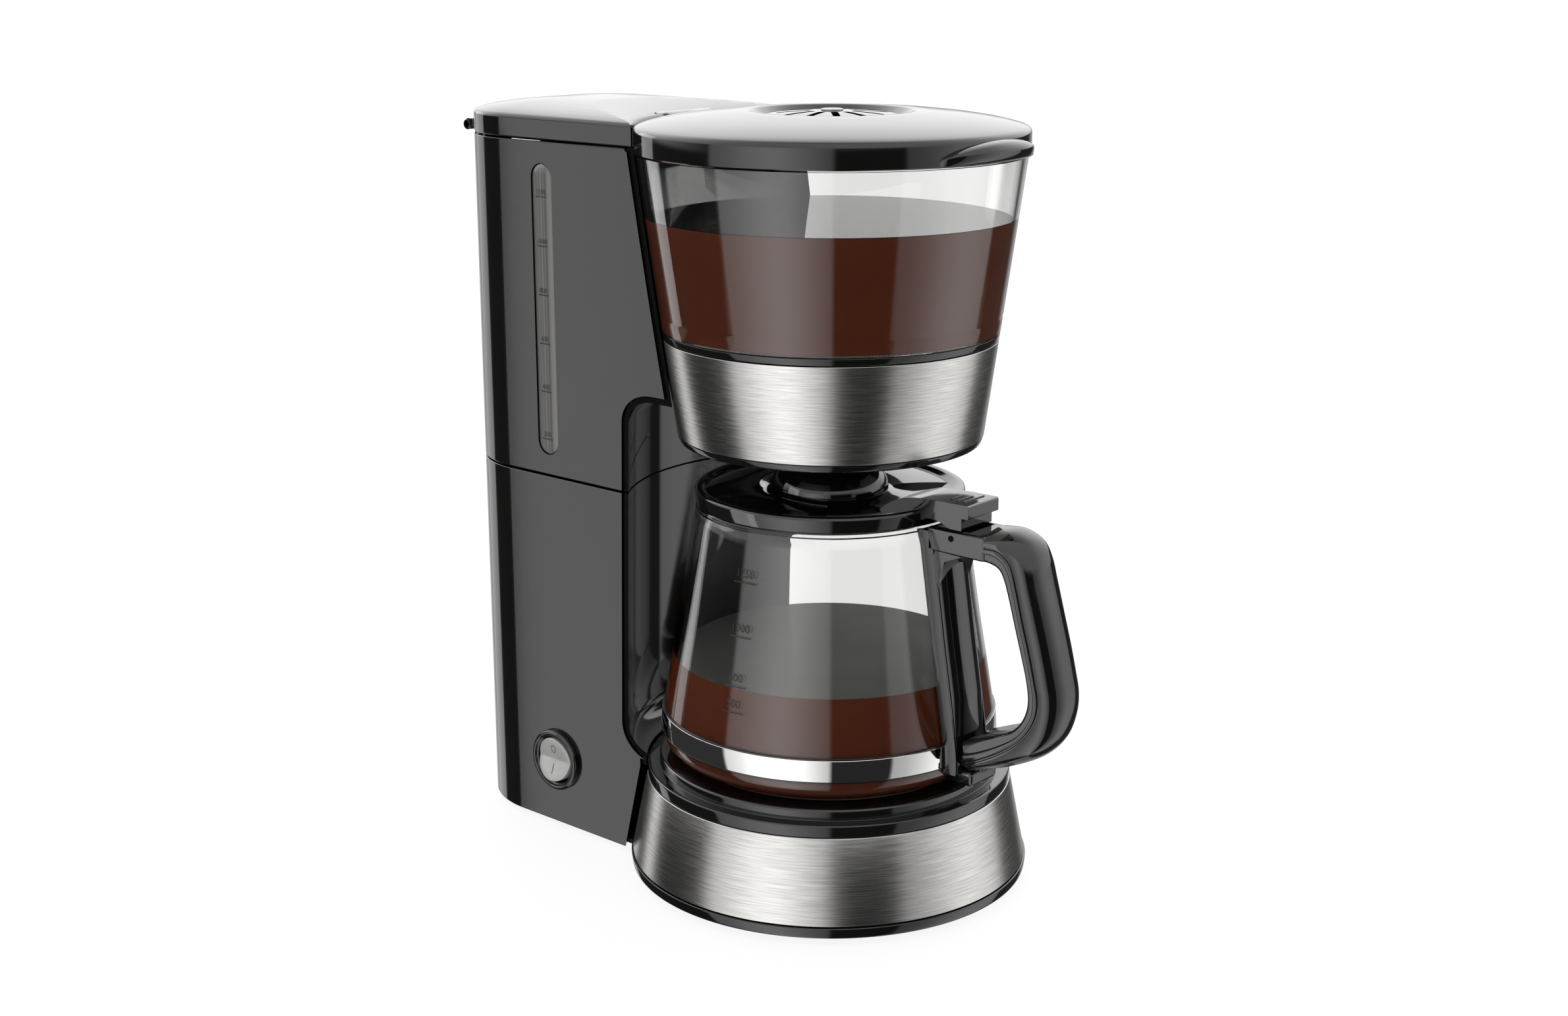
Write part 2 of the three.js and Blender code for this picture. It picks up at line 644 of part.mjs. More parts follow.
// ---------------------------------------------------------------- switch and cord inlet
function switchBezel() {
  const face = new THREE.LatheGeometry([
    [power.rockerR + 1.1, -5], [power.holeR - GAP, -5], [power.holeR - GAP, GAP], [power.bezelR, GAP],
    [power.bezelR, 1.4], [power.bezelR - 1.6, 2.8], [power.rockerR + 1.1, 2.8],
    [power.rockerR + 1.1, -5],
  ].map(([r, h]) => new THREE.Vector2(r, h)), 24);
  face.rotateZ(Math.PI / 2);
  face.translate(-tower.halfWidth, power.y, power.z);
  return solid(face);
}

// A round rocker with a shallow V face; at rest its top half is pressed in.
function switchRocker() {
  const disc = crossRod(power.rockerR, -55.6, -47.2, power.y, power.z, 24);
  const vee = new THREE.Shape();
  vee.moveTo(-60, power.z - 12);
  vee.lineTo(-55.4, power.z - 12);
  vee.lineTo(-53.9, power.z);
  vee.lineTo(-55.4, power.z + 12);
  vee.lineTo(-60, power.z + 12);
  vee.closePath();
  const geometry = new THREE.ExtrudeGeometry(vee, { depth: 40, bevelEnabled: false });
  geometry.rotateX(Math.PI / 2);
  geometry.translate(0, power.y + 20, 0);
  const pivot = [power.pivotX, power.y, power.z];
  return disc.subtract(solid(geometry))
    .translate(pivot.map((v) => -v))
    .rotate(0, power.tilt, 0)
    .translate(pivot);
}

const switchBody = () => block(-44.6, -30, power.y - 9, power.y + 9, power.z - 11, power.z + 11);

const cordGland = () => {
  const profile = [[2.6, -6], [4.8, -6], [4.8, 1], [7, 1], [7, 3], [4.4, 4.6], [2.6, 4.6], [2.6, -6]];
  const gland = new THREE.LatheGeometry(profile.map(([r, h]) => new THREE.Vector2(r, h)), SMALL);
  return solid(gland.translate(-20, tower.back - 0.6, 22));
};

// ---------------------------------------------------------------- carafe
// Outer profile of the glass, from the centre of its bottom to the rim.
function glassOuter(grow) {
  const g = grow;
  return [
    [0, carafe.bottom - g], [58, carafe.bottom - g], [64.8 + g, 54.2], [68.4 + g, 58], [69.4 + g, 62.6],
    [68.9 + g, 71.6], [59.3 + g, 131], [56 + g, 152], [54 + g, carafe.rim],
  ];
}

function carafeGlass() {
  const t = carafe.glass;
  const inside = glassOuter(0).slice(1).map(([r, z], i) => [r - t, i < 2 ? z + t : z]).reverse();
  return turned([...glassOuter(0), ...inside, [0, carafe.bottom + t]]);
}

function carafeBand() {
  const { bandLow, bandHigh } = carafe;
  const radiusAt = (z) => 69.4 - (0.5 * (z - 62.6)) / 9;
  return coneShell(bandLow, bandHigh, GAP + 0.5, 0.5, radiusAt);
}

const glassClearance = turned([...glassOuter(GAP + 1.0), [0, carafe.rim + GAP + 1]]);
const glassAndRim = glassClearance.add(rod(54 + GAP + 1, carafe.rim - 1, carafe.rim + 2, 0, 0, SIDES));

// Strap against the glass with the short bar over the fingers, slotted for the lid's lever.
function handleFrame() {
  const side = new THREE.Shape();
  side.moveTo(-48, 159.6);
  side.lineTo(-84.6, 162.6);
  side.lineTo(-84.6, 149.8);
  side.lineTo(-71, 150.6);
  side.quadraticCurveTo(-65.6, 150.4, -65.6, 146);
  side.lineTo(-77.2, 82);
  side.lineTo(-77.6, 62);
  side.lineTo(-70, 55.6);
  side.lineTo(-48, 55.6);
  side.closePath();
  const slot = block(-handle.slotHalf, handle.slotHalf, -76.6, -50, 153.4, 170);
  const pinHole = crossRod(handle.pinR + 0.2, -20, 20, handle.pinY, handle.pinZ);
  return sideCut(side, handle.halfWidth).subtract(glassAndRim).subtract(slot).subtract(pinHole);
}

// Outer grip, from the joint over the fingers round to the foot of the strap.
function handleGrip() {
  const side = new THREE.Shape();
  side.moveTo(-85, 162.8);
  side.lineTo(-95, 163.4);
  side.quadraticCurveTo(-106.4, 162.6, -109, 154);
  side.lineTo(handle.front + 0.4, 106);
  side.quadraticCurveTo(handle.front - 0.6, 82, -108, 75.5);
  side.quadraticCurveTo(-98, 70.4, -78, 66);
  side.lineTo(-78, 79.6);
  side.quadraticCurveTo(-95, 81.6, -101, 86.4);
  side.quadraticCurveTo(-107, 91, -105.4, 101);
  side.lineTo(-93.4, 142);
  side.quadraticCurveTo(-91.6, 149, -85, 149.6);
  side.closePath();
  return sideCut(side, handle.halfWidth);
}

// ---------------------------------------------------------------- carafe lid
function carafeLid() {
  const { bottom, radius, domeRadius, domeTop, shell } = lid;
  const equator = 164.4;
  const dome = (grow) => [0.3, 0.65].map((t) => {
    const a = (Math.PI / 2) * t;
    return [(domeRadius - grow) * Math.cos(a), equator + (domeTop - grow - equator) * Math.sin(a)];
  });
  const saucer = turned([
    [0, domeTop - shell],
    ...dome(shell).reverse(),
    [domeRadius - shell, equator - shell],
    [32, 160.6],
    [46, 160.6],
    [49.6, bottom],
    [radius - 0.8, bottom],
    [radius, 164.4],
    [radius - 1.6, 165.6],
    [50.2, 165.4],
    [45, 162.9],
    [32, 162.6],
    [domeRadius, equator - 0.6],
    [domeRadius, equator],
    ...dome(0),
    [0, domeTop],
  ]);
  const arm = new THREE.Shape();
  arm.moveTo(-46, 161.4);
  arm.lineTo(-46, 164.6);
  arm.quadraticCurveTo(-56, 168.4, -66, 170);
  arm.lineTo(-76, 171.2);
  arm.lineTo(-76, 165);
  arm.lineTo(-74.4, 165);
  arm.lineTo(-74.4, 156);
  arm.quadraticCurveTo(-70, 152.2, -65.4, 156);
  arm.lineTo(-63.4, 161.2);
  arm.quadraticCurveTo(-60, 163, -55, 162.6);
  arm.closePath();
  const lever = sideCut(arm, 8).subtract(crossRod(handle.pinR + 0.2, -20, 20, handle.pinY, handle.pinZ));
  const thumbPad = block(-10, 10, -76, -66, 165.2, 171);
  return union(saucer, lever, thumbPad);
}

function lidPin() {
  const end = handle.halfWidth - 0.2;
  return crossRod(handle.pinR, -end, end, handle.pinY, handle.pinZ);
}

// ---------------------------------------------------------------- assembly
const machine = new THREE.Group();
machine.name = "drip_coffee_maker";
machine.position.y = plateY;

function add(name, piece, material) {
  const mesh = new THREE.Mesh(geometryOf(piece), material);
  mesh.name = name;
  machine.add(mesh);
}

add("lower_housing", lowerHousing(), looks.blackPlastic);
add("bay_wall", bayWall(), looks.blackPlastic);
add("upper_housing", upperHousing(), looks.blackPlastic);
add("gauge_window", gaugeWindow(), looks.smoke);
add("gauge_seal", gaugeSeal(), looks.silicone);
add("tank_lid", tankLid(), looks.blackPlastic);
add("tank_lid_pin", hingePin(tankHinge), looks.steel);
add("brew_lid", brewLid(), looks.blackPlastic);
add("vent_grille", ventGrille(), looks.blackPlastic);
add("brew_lid_pin", hingePin(brewHinge), looks.steel);

add("base_housing", baseHousing(), looks.innerPlastic);
add("base_top_ring", baseTopRing(), looks.blackPlastic);
add("base_steel_band", baseSteelBand(), looks.steel);
add("base_foot_ring", baseFootRing(), looks.blackPlastic);
add("bottom_cover", bottomCover(), looks.innerPlastic);
footSpots.forEach((spot, i) => add(`foot_${i + 1}`, foot(spot), looks.rubber));
screwSpots.forEach((spot, i) => add(`bottom_screw_${i + 1}`, screw(spot), looks.aluminium));

add("hot_plate", hotPlate(), looks.plateCoat);
add("hot_plate_seal", plateSeal(), looks.silicone);
add("heater_tube", heaterTube(), looks.aluminium);
add("heater_clamp", heaterClamp(), looks.steel);
add("thermostat", thermostat(), looks.innerPlastic);
add("thermal_fuse_1", thermalFuse(-14), looks.silicone);
add("thermal_fuse_2", thermalFuse(14), looks.silicone);

add("tank_outlet", tankOutlet(), looks.innerPlastic);
add("cold_hose", coldHose(), looks.silicone);
add("riser_hose", riserHose(), looks.silicone);
add("riser_pipe", riserPipe(), looks.innerPlastic);
add("shower_head", showerHead(), looks.innerPlastic);

add("head_frame", headFrame(), looks.blackPlastic);
headScrews.forEach((x, i) => add(`head_screw_${i + 1}`, headScrew(x), looks.aluminium));
add("head_lower_ring", headLowerRing(), looks.blackPlastic);
add("head_steel_band", headSteelBand(), looks.steel);
add("funnel_trim", funnelTrim(), looks.blackPlastic);
add("funnel_glass", funnelGlass(), looks.glass);
add("filter_basket", filterBasket(), looks.mesh);
add("filter_grip", filterGrip(), looks.innerPlastic);
add("drip_plunger", dripPlunger(), looks.innerPlastic);
add("drip_seal", dripSeal(), looks.silicone);
add("drip_spring", dripSpring(), looks.steel);

add("switch_bezel", switchBezel(), looks.blackPlastic);
add("switch_rocker", switchRocker(), looks.silver);
add("switch_body", switchBody(), looks.innerPlastic);
add("cord_gland", cordGland(), looks.rubber);

add("carafe_glass", carafeGlass(), looks.glass);
add("carafe_band", carafeBand(), looks.mirror);
add("handle_frame", handleFrame(), looks.blackPlastic);
add("handle_grip", handleGrip(), looks.blackPlastic);
add("carafe_lid", carafeLid(), looks.blackPlastic);
add("carafe_lid_pin", lidPin(), looks.steel);

export default machine;
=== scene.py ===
import json
import math

import bmesh
import bpy
import numpy as np
from mathutils import Matrix, Vector


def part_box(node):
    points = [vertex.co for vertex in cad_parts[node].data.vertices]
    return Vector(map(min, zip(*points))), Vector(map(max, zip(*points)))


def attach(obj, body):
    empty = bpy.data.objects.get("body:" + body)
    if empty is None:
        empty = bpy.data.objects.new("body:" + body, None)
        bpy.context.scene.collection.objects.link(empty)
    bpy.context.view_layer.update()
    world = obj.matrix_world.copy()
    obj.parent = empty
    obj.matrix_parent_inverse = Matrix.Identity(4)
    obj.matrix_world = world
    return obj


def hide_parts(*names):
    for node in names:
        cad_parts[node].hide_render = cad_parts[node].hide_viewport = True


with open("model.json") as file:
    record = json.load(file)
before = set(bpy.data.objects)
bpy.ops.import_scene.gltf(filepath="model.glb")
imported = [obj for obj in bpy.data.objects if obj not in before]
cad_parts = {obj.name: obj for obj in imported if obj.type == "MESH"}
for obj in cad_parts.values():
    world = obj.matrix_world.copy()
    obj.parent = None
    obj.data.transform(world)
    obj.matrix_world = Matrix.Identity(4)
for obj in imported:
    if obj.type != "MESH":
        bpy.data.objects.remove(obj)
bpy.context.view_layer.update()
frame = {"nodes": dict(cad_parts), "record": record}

# -------- frame and driving sizes
# Shapes are drawn in millimetres about the hot plate's axis; MM and plate_y bring them into the frame.
MM = 0.001
plate_lo, plate_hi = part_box("hot_plate")
plate_y = (plate_lo.y + plate_hi.y) / 2


def span(name):
    """A CAD node's box in millimetres about the plate axis: x0, x1, y0, y1, z0, z1."""
    lo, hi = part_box(name)
    return (lo.x / MM, hi.x / MM, (lo.y - plate_y) / MM, (hi.y - plate_y) / MM, lo.z / MM, hi.z / MM)


GAP = 0.35           # seam between two fitted pieces
SEGMENTS = 192       # sides of a turned piece
LINER = 2.4          # thickness of the wall round the bay and the brew head
SHELL = 2.5          # thickness of the outer panels
FRONT = 2.9          # how far the side panels stand back behind the liner's face
SKIN = 0.08          # how far a liquid reaches into its glass, so that no gap shows
ROCKER = 9.7         # radius of the rocker's round face
HALF = 11.0          # half the handle's width
GAUGE_HALF = 5.6     # half the level window's width
STRENGTH = 3.0       # brightest value the studio's colour ramps may carry

tower_half, tower_back = span("upper_housing")[1], 178.0
tower_corner, tower_bottom, tower_top = 42.0, span("lower_housing")[4], 300.8
seam_low, seam_high = span("lower_housing")[5], 160.8
glass_low, glass_high = span("funnel_glass")[4:]
steel_low, steel_high = span("head_steel_band")[4:]
base_low, base_high = span("base_steel_band")[4:]
lid_radius, lid_low, lid_top = span("brew_lid")[1], 300.2, 309.6
funnel_level, carafe_level = 275.7, 95.0
funnel_wall, carafe_wall = 2.2, 2.3
gauge_y, gauge_low, gauge_high = 111.5, 170.0, 291.5
first_mark, mark_pitch = 176.4, 20.38
switch_y, switch_z = 111.5, 32.2
brew_hinge = (80.6, 310.6)       # the hinges' axes in (Y, Z)
tank_hinge = (180.8, 302.6)
carafe_hinge = (-69.8, 157.2)
camera_place = (-656.7, -545.4, 381.3)
camera_heading, camera_pitch = math.radians(49.03), math.radians(14.84)


def cone_r(z):
    """Radius of the brew head's steel and glass, which widen upward."""
    return 62.1 + 0.134 * (z - 187.9)


def base_r(z):
    """Radius of the base's steel band, which narrows upward."""
    return 83 - 6.7 * (z - base_low) / (base_high - base_low)


def bay_r(z):
    """Radius of the bay behind the carafe."""
    return 85 - 0.0191 * (z - 47.8)


# -------- shader nodes
def node(tree, kind, **values):
    """A new node with sockets or properties set by name; in a socket's name _ stands for a space."""
    made = tree.nodes.new(kind)
    for key, value in values.items():
        socket = key.replace("_", " ")
        if socket in made.inputs:
            made.inputs[socket].default_value = value
        else:
            setattr(made, key, value)
    return made


def ramp(tree, source, stops):
    """A colour ramp from position to colour, fed by source."""
    made = node(tree, "ShaderNodeValToRGB")
    elements = made.color_ramp.elements
    while len(elements) < len(stops):
        elements.new(0.5)
    for element, (position, color) in zip(elements, stops):
        element.position = position
        element.color = (*color, 1)
    tree.links.new(source, made.inputs["Fac"])
    return made.outputs["Color"]


def object_point(tree):
    return node(tree, "ShaderNodeTexCoord").outputs["Object"]


def noise(tree, scale, detail=4.0, vector=None):
    made = node(tree, "ShaderNodeTexNoise", Scale=scale, Detail=detail)
    tree.links.new(vector or object_point(tree), made.inputs["Vector"])
    return made.outputs["Fac"]


def remap(tree, source, **limits):
    """Source carried from one range to another, each 0 to 1 unless limits say otherwise."""
    made = node(tree, "ShaderNodeMapRange", **limits)
    tree.links.new(source, made.inputs["Value"])
    return made.outputs["Result"]


def maths(tree, operation, *terms):
    """A Math node; each term is a number or a socket."""
    made = node(tree, "ShaderNodeMath", operation=operation)
    for socket, term in zip(made.inputs, terms):
        if isinstance(term, (int, float)):
            socket.default_value = term
        else:
            tree.links.new(term, socket)
    return made.outputs["Value"]


def vector_maths(tree, operation, vector, constant):
    made = node(tree, "ShaderNodeVectorMath", operation=operation)
    made.inputs[1].default_value = constant
    tree.links.new(vector, made.inputs[0])
    return made.outputs["Value" if operation == "DOT_PRODUCT" else "Vector"]


def split(tree, vector):
    made = node(tree, "ShaderNodeSeparateXYZ")
    tree.links.new(vector, made.inputs["Vector"])
    return made.outputs


def bump(tree, shader, source, strength, distance=0.00005):
    made = node(tree, "ShaderNodeBump", Strength=strength, Distance=distance)
    tree.links.new(source, made.inputs["Height"])
    tree.links.new(made.outputs["Normal"], shader.inputs["Normal"])


# -------- materials
def material(name, color, roughness, **sockets):
    """A Principled material, with its node tree and its shader."""
    mat = bpy.data.materials.new(name)
    mat.use_nodes = True
    shader = mat.node_tree.nodes["Principled BSDF"]
    sockets.update(Base_Color=(*color, 1), Roughness=roughness)
    for key, value in sockets.items():
        shader.inputs[key.replace("_", " ")].default_value = value
    return mat, mat.node_tree, shader


def finish(name, dark, light, rough, scale, grain=0.0, grain_scale=2600.0, **sockets):
    """Colour and roughness drift over the surface; grain adds a fine moulded or blasted texture."""
    middle = [(a + b) / 2 for a, b in zip(dark, light)]
    mat, tree, shader = material(name, middle, sum(rough) / 2, **sockets)
    tree.links.new(ramp(tree, noise(tree, scale), [(0.3, dark), (0.7, light)]), shader.inputs["Base Color"])
    fine = remap(tree, noise(tree, scale * 7), To_Min=rough[0], To_Max=rough[1])
    tree.links.new(fine, shader.inputs["Roughness"])
    if grain > 0:
        bump(tree, shader, noise(tree, grain_scale, 2.0), grain)
    return mat


def brushed_steel():
    """Steel with fine brush lines that run round the plate axis."""
    mat, tree, shader = material("brushed_steel", (0.60, 0.59, 0.56), 0.24, Metallic=1.0)
    parts = split(tree, vector_maths(tree, "SUBTRACT", object_point(tree), (0, plate_y, 0)))
    round_axis = node(tree, "ShaderNodeCombineXYZ")
    tree.links.new(maths(tree, "ARCTAN2", parts["Y"], parts["X"]), round_axis.inputs["X"])
    tree.links.new(parts["Z"], round_axis.inputs["Y"])
    stretched = vector_maths(tree, "MULTIPLY", round_axis.outputs["Vector"], (5.0, 2200.0, 1))
    lines = noise(tree, 1.0, 5.0, stretched)
    shades = ramp(tree, lines, [(0.34, (0.50, 0.49, 0.475)), (0.66, (0.72, 0.71, 0.695))])
    tree.links.new(shades, shader.inputs["Base Color"])
    tree.links.new(remap(tree, lines, To_Min=0.20, To_Max=0.30), shader.inputs["Roughness"])
    bump(tree, shader, lines, 0.10)
    return mat


def clear_glass():
    mat, tree, shader = material("clear_glass", (0.97, 0.97, 0.965), 0.0, IOR=1.62, Transmission_Weight=1.0)
    tint = ramp(tree, noise(tree, 12), [(0.3, (0.955, 0.955, 0.948)), (0.7, (0.985, 0.985, 0.980))])
    tree.links.new(tint, shader.inputs["Base Color"])
    return mat


def nylon_mesh():
    """A fine woven mesh held in a moulded frame."""
    mat, tree, shader = material("nylon_mesh", (0.2, 0.15, 0.09), 0.5)
    waves = []
    for axis in "XY":
        wave = node(tree, "ShaderNodeTexWave", Scale=650.0, bands_direction=axis)
        tree.links.new(object_point(tree), wave.inputs["Vector"])
        waves.append(wave.outputs["Fac"])
    threads = maths(tree, "MULTIPLY", *waves)
    shades = ramp(tree, threads, [(0.2, (0.06, 0.045, 0.03)), (0.6, (0.28, 0.21, 0.12))])
    tree.links.new(shades, shader.inputs["Base Color"])
    bump(tree, shader, threads, 0.4, 0.0002)
    return mat


def smoke_window():
    """The level window: smoky clear plastic whose colour carries painted highlight streaks, lighter down its
    middle where it bulges and darker at its edges.
    """
    mat, tree, shader = material("smoke_window", (0.2, 0.195, 0.185), 0.12, IOR=1.5, Coat_Weight=0.6)
    across = remap(tree, split(tree, object_point(tree))["Y"],
                   From_Min=(gauge_y - GAUGE_HALF) * MM + plate_y,
                   From_Max=(gauge_y + GAUGE_HALF) * MM + plate_y)
    # Painted highlight: the lighter bands across the window stand in for light on its bulge, and the darker
    # ends are painted shade at its edges.
    painted_streaks = [(0.0, 0.10), (0.10, 0.14), (0.30, 0.10), (0.36, 0.16), (0.43, 0.11), (0.50, 0.19), (0.57, 0.12),
             (0.64, 0.15), (0.85, 0.13), (1.0, 0.07)]
    smoke_and_highlight = ramp(tree, across, [(position, (v, v * 0.985, v * 0.95)) for position, v in painted_streaks])
    tree.links.new(smoke_and_highlight, shader.inputs["Base Color"])
    tree.links.new(remap(tree, noise(tree, 300), To_Min=0.1, To_Max=0.16), shader.inputs["Roughness"])
    return mat


BLACK = ((0.0034, 0.0034, 0.0032), (0.0052, 0.0052, 0.0049))
GLOSS = finish("gloss_black_plastic", *BLACK, (0.05, 0.09), 18, 0.03, IOR=1.72)
PANEL = finish("satin_black_panel", *BLACK, (0.07, 0.10), 18, 0.10, IOR=1.72)
MATTE = finish("matte_black_plastic", (0.010, 0.010, 0.0095), (0.016, 0.016, 0.015), (0.42, 0.6), 30, 0.2)
STEEL = brushed_steel()
CHROME = finish("mirror_band", (0.84, 0.84, 0.83), (0.90, 0.90, 0.89), (0.02, 0.045), 25, Metallic=1.0)
GLASS = clear_glass()
COFFEE = finish("coffee", (0.170, 0.045, 0.019), (0.190, 0.051, 0.023), (0.03, 0.07), 15, IOR=1.42)
COFFEE_TOP = finish("coffee_surface", (0.014, 0.006, 0.0035), (0.020, 0.009, 0.005), (0.02, 0.05), 10,
                    IOR=1.08)
# The still surface in the carafe is painted a dull grey as a painted reflection, and its own reflection is
# kept weak.
COFFEE_PAINTED_SHEEN = finish("coffee_painted_sheen", (0.11, 0.107, 0.102), (0.13, 0.127, 0.122), (0.15, 0.3), 25, IOR=1.06)
PLATE = finish("plate_coating", (0.008, 0.0078, 0.0075), (0.016, 0.015, 0.014), (0.14, 0.26), 40, 0.15,
               1800.0, IOR=1.6)
SILVER = finish("silver_paint", (0.39, 0.39, 0.38), (0.45, 0.45, 0.44), (0.26, 0.36), 60, 0.12, 4000.0,
                Metallic=0.35)
PIN = finish("satin_steel", (0.44, 0.44, 0.43), (0.56, 0.56, 0.55), (0.25, 0.42), 90, 0.1, Metallic=1.0)
ALUMINIUM = finish("cast_aluminium", (0.42, 0.42, 0.41), (0.56, 0.56, 0.55), (0.38, 0.55), 70, 0.3, 900.0,
                   Metallic=1.0)
RUBBER = finish("black_rubber", (0.011, 0.011, 0.011), (0.02, 0.02, 0.02), (0.7, 0.9), 50, 0.4, 1500.0)
SILICONE = finish("pale_silicone", (0.50, 0.47, 0.42), (0.60, 0.57, 0.52), (0.42, 0.6), 40, 0.15)
MESH = nylon_mesh()
SMOKE = smoke_window()
INK = finish("print_ink", (0.025, 0.025, 0.025), (0.04, 0.04, 0.04), (0.45, 0.6), 200)
FAINT = finish("faint_ink", (0.016, 0.015, 0.014), (0.025, 0.024, 0.023), (0.55, 0.7), 200)


# -------- mesh building
def in_frame(points):
    return [(x * MM, y * MM + plate_y, z * MM) for x, y, z in points]


def show(obj):
    bpy.context.scene.collection.objects.link(obj)


def build(name, points, faces, mat=GLOSS, sharp=32):
    """A mesh object from millimetre points; edges sharper than sharp degrees stay crisp."""
    mesh = bpy.data.meshes.new(name)
    mesh.from_pydata(in_frame(points), [], faces)
    mesh.validate()
    mesh.materials.append(mat)
    made = bpy.data.objects.new(name, mesh)
    show(made)
    outward(made)
    shade(made, sharp)
    return made


def outward(obj):
    """Welds doubled points and turns every face outward."""
    work = bmesh.new()
    work.from_mesh(obj.data)
    bmesh.ops.remove_doubles(work, verts=work.verts, dist=2e-6)
    bmesh.ops.recalc_face_normals(work, faces=work.faces)
    work.to_mesh(obj.data)
    work.free()


def shade(obj, sharp):
    obj.data.polygons.foreach_set("use_smooth", [True] * len(obj.data.polygons))
    obj.data.set_sharp_from_angle(angle=math.radians(sharp))


def place(obj, body, *nodes, slot="body_gloss"):
    """obj rides on a body and stands for CAD nodes; slot is not used."""
    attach(obj, body)
    if nodes:
        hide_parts(*nodes)


def rounded(points, radius, steps):
    """A closed outline with its corners rounded; radius is one number or one for each point."""
    count = len(points)
    radii = radius if isinstance(radius, list) else [radius] * count
    made = []
    for i, (point, r) in enumerate(zip(points, radii)):
        if r <= 0:
            made.append(tuple(point))
            continue
        here = Vector(point)
        before = Vector(points[i - 1]) - here
        after = Vector(points[(i + 1) % count]) - here
        reach = min(r, before.length * 0.49, after.length * 0.49)
        start = here + before.normalized() * reach
        end = here + after.normalized() * reach
        for k in range(steps + 1):
            t = k / steps
            made.append(tuple(start * (1 - t) ** 2 + here * 2 * t * (1 - t) + end * t * t))
    return made


def arc(centre, radius, start, end, steps):
    """Points of an arc in the plane, angles in degrees."""
    angles = [math.radians(start + (end - start) * k / steps) for k in range(steps + 1)]
    return [(centre[0] + radius * math.cos(a), centre[1] + radius * math.sin(a)) for a in angles]


def lathe(profile, segments=SEGMENTS, closed=True):
    """Points and faces of a profile of (radius, height) turned about the plate axis."""
    points, rows, faces = [], [], []
    for r, z in profile:
        if r < 1e-6:
            rows.append([len(points)] * segments)
            points.append((0, 0, z))
            continue
        rows.append(list(range(len(points), len(points) + segments)))
        for k in range(segments):
            a = 2 * math.pi * k / segments
            points.append((r * math.cos(a), r * math.sin(a), z))
    pairs = list(zip(rows, rows[1:])) + ([(rows[-1], rows[0])] if closed else [])
    for low, high in pairs:
        for k in range(segments):
            n = (k + 1) % segments
            face = []
            for index in (low[k], low[n], high[n], high[k]):
                if index not in face:
                    face.append(index)
            if len(face) > 2:
                faces.append(face)
    return points, faces


def turned(name, profile, mat=GLOSS, closed=True, sharp=32):
    points, faces = lathe(profile, closed=closed)
    return build(name, points, faces, mat, sharp)


def loft(name, rings, mat=GLOSS, sharp=32):
    """Rings with the same number of points, joined side by side and closed at both ends."""
    count, last = len(rings[0]), len(rings) - 1
    points = [p for ring in rings for p in ring]
    faces = []
    for i in range(last):
        for k in range(count):
            n = (k + 1) % count
            faces.append([i * count + k, i * count + n, (i + 1) * count + n, (i + 1) * count + k])
    faces.append(list(range(count)))
    faces.append([last * count + k for k in range(count)])
    return build(name, points, faces, mat, sharp)


def cross_rod(name, radius, x0, x1, y, z, edge=0.4):
    """A round bar along X with softened ends."""
    sides = 48
    rings = []
    for x, r in ((x0, radius - edge), (x0 + edge, radius), (x1 - edge, radius), (x1, radius - edge)):
        rings.append([(x, b, c) for b, c in arc((y, z), r, 0, 360 - 360 / sides, sides - 1)])
    return loft(name, rings)


def edge_rows(z0, z1, edge):
    """Heights of a slab's sections and how far each is drawn in for its rounded edges."""
    if edge <= 0:
        return [(z0, 0), (z1, 0)]
    return [(z0, edge), (z0 + 0.3 * edge, 0.3 * edge), (z0 + edge, 0),
            (z1 - edge, 0), (z1 - 0.3 * edge, 0.3 * edge), (z1, edge)]


def block(name, x0, x1, y0, y1, z0, z1, edge=0.0, mat=GLOSS):
    """A rectangular block with rounded upright and level edges."""
    rings = []
    for z, inset in edge_rows(z0, z1, edge):
        left, right, near, far = x0 + inset, x1 - inset, y0 + inset, y1 - inset
        corners = rounded([(left, near), (right, near), (right, far), (left, far)], edge, 3)
        rings.append([(x, y, z) for x, y in corners])
    if edge <= 0:
        return loft(name, rings, mat)
    return settle(loft(name, rings, mat, 50))


def boolean(obj, cutter, operation="DIFFERENCE"):
    """Applies one exact boolean and removes the cutter."""
    modifier = obj.modifiers.new("cut", "BOOLEAN")
    modifier.operation = operation
    modifier.object = cutter
    modifier.solver = "EXACT"
    apply_modifiers(obj)
    bpy.data.objects.remove(cutter)
    shade(obj, 32)


def apply_modifiers(obj):
    bpy.context.view_layer.update()
    graph = bpy.context.evaluated_depsgraph_get()
    baked = bpy.data.meshes.new_from_object(obj.evaluated_get(graph))
    obj.modifiers.clear()
    obj.data = baked


def soften(obj, width, segments=3, angle=35):
    """Rounds the crisp edges of a finished mesh and keeps its flat faces flat."""
    modifier = obj.modifiers.new("soft_edges", "BEVEL")
    modifier.width = width * MM
    modifier.segments = segments
    modifier.limit_method = "ANGLE"
    modifier.angle_limit = math.radians(angle)
    modifier.use_clamp_overlap = True
    apply_modifiers(obj)
    shade(obj, 50)
    return settle(obj)


def settle(obj):
    """Normals weighted by face area, so that large flat faces stay flat beside small roundings."""
    weighted = obj.modifiers.new("weighted_normals", "WEIGHTED_NORMAL")
    weighted.keep_sharp = True
    weighted.weight = 100
    apply_modifiers(obj)
    return obj


def turn_about(obj, centre, degrees, axis):
    """Turns a mesh about a point (mm) on an axis of the frame."""
    pivot = Vector(in_frame([centre])[0])
    turn = Matrix.Rotation(math.radians(degrees), 4, axis)
    obj.data.transform(Matrix.Translation(pivot) @ turn @ Matrix.Translation(-pivot))


def join(name, *pieces):
    """Several meshes as one object."""
    bpy.ops.object.select_all(action="DESELECT")
    for piece in pieces:
        piece.select_set(True)
    bpy.context.view_layer.objects.active = pieces[0]
    bpy.ops.object.join()
    pieces[0].name = name
    return pieces[0]


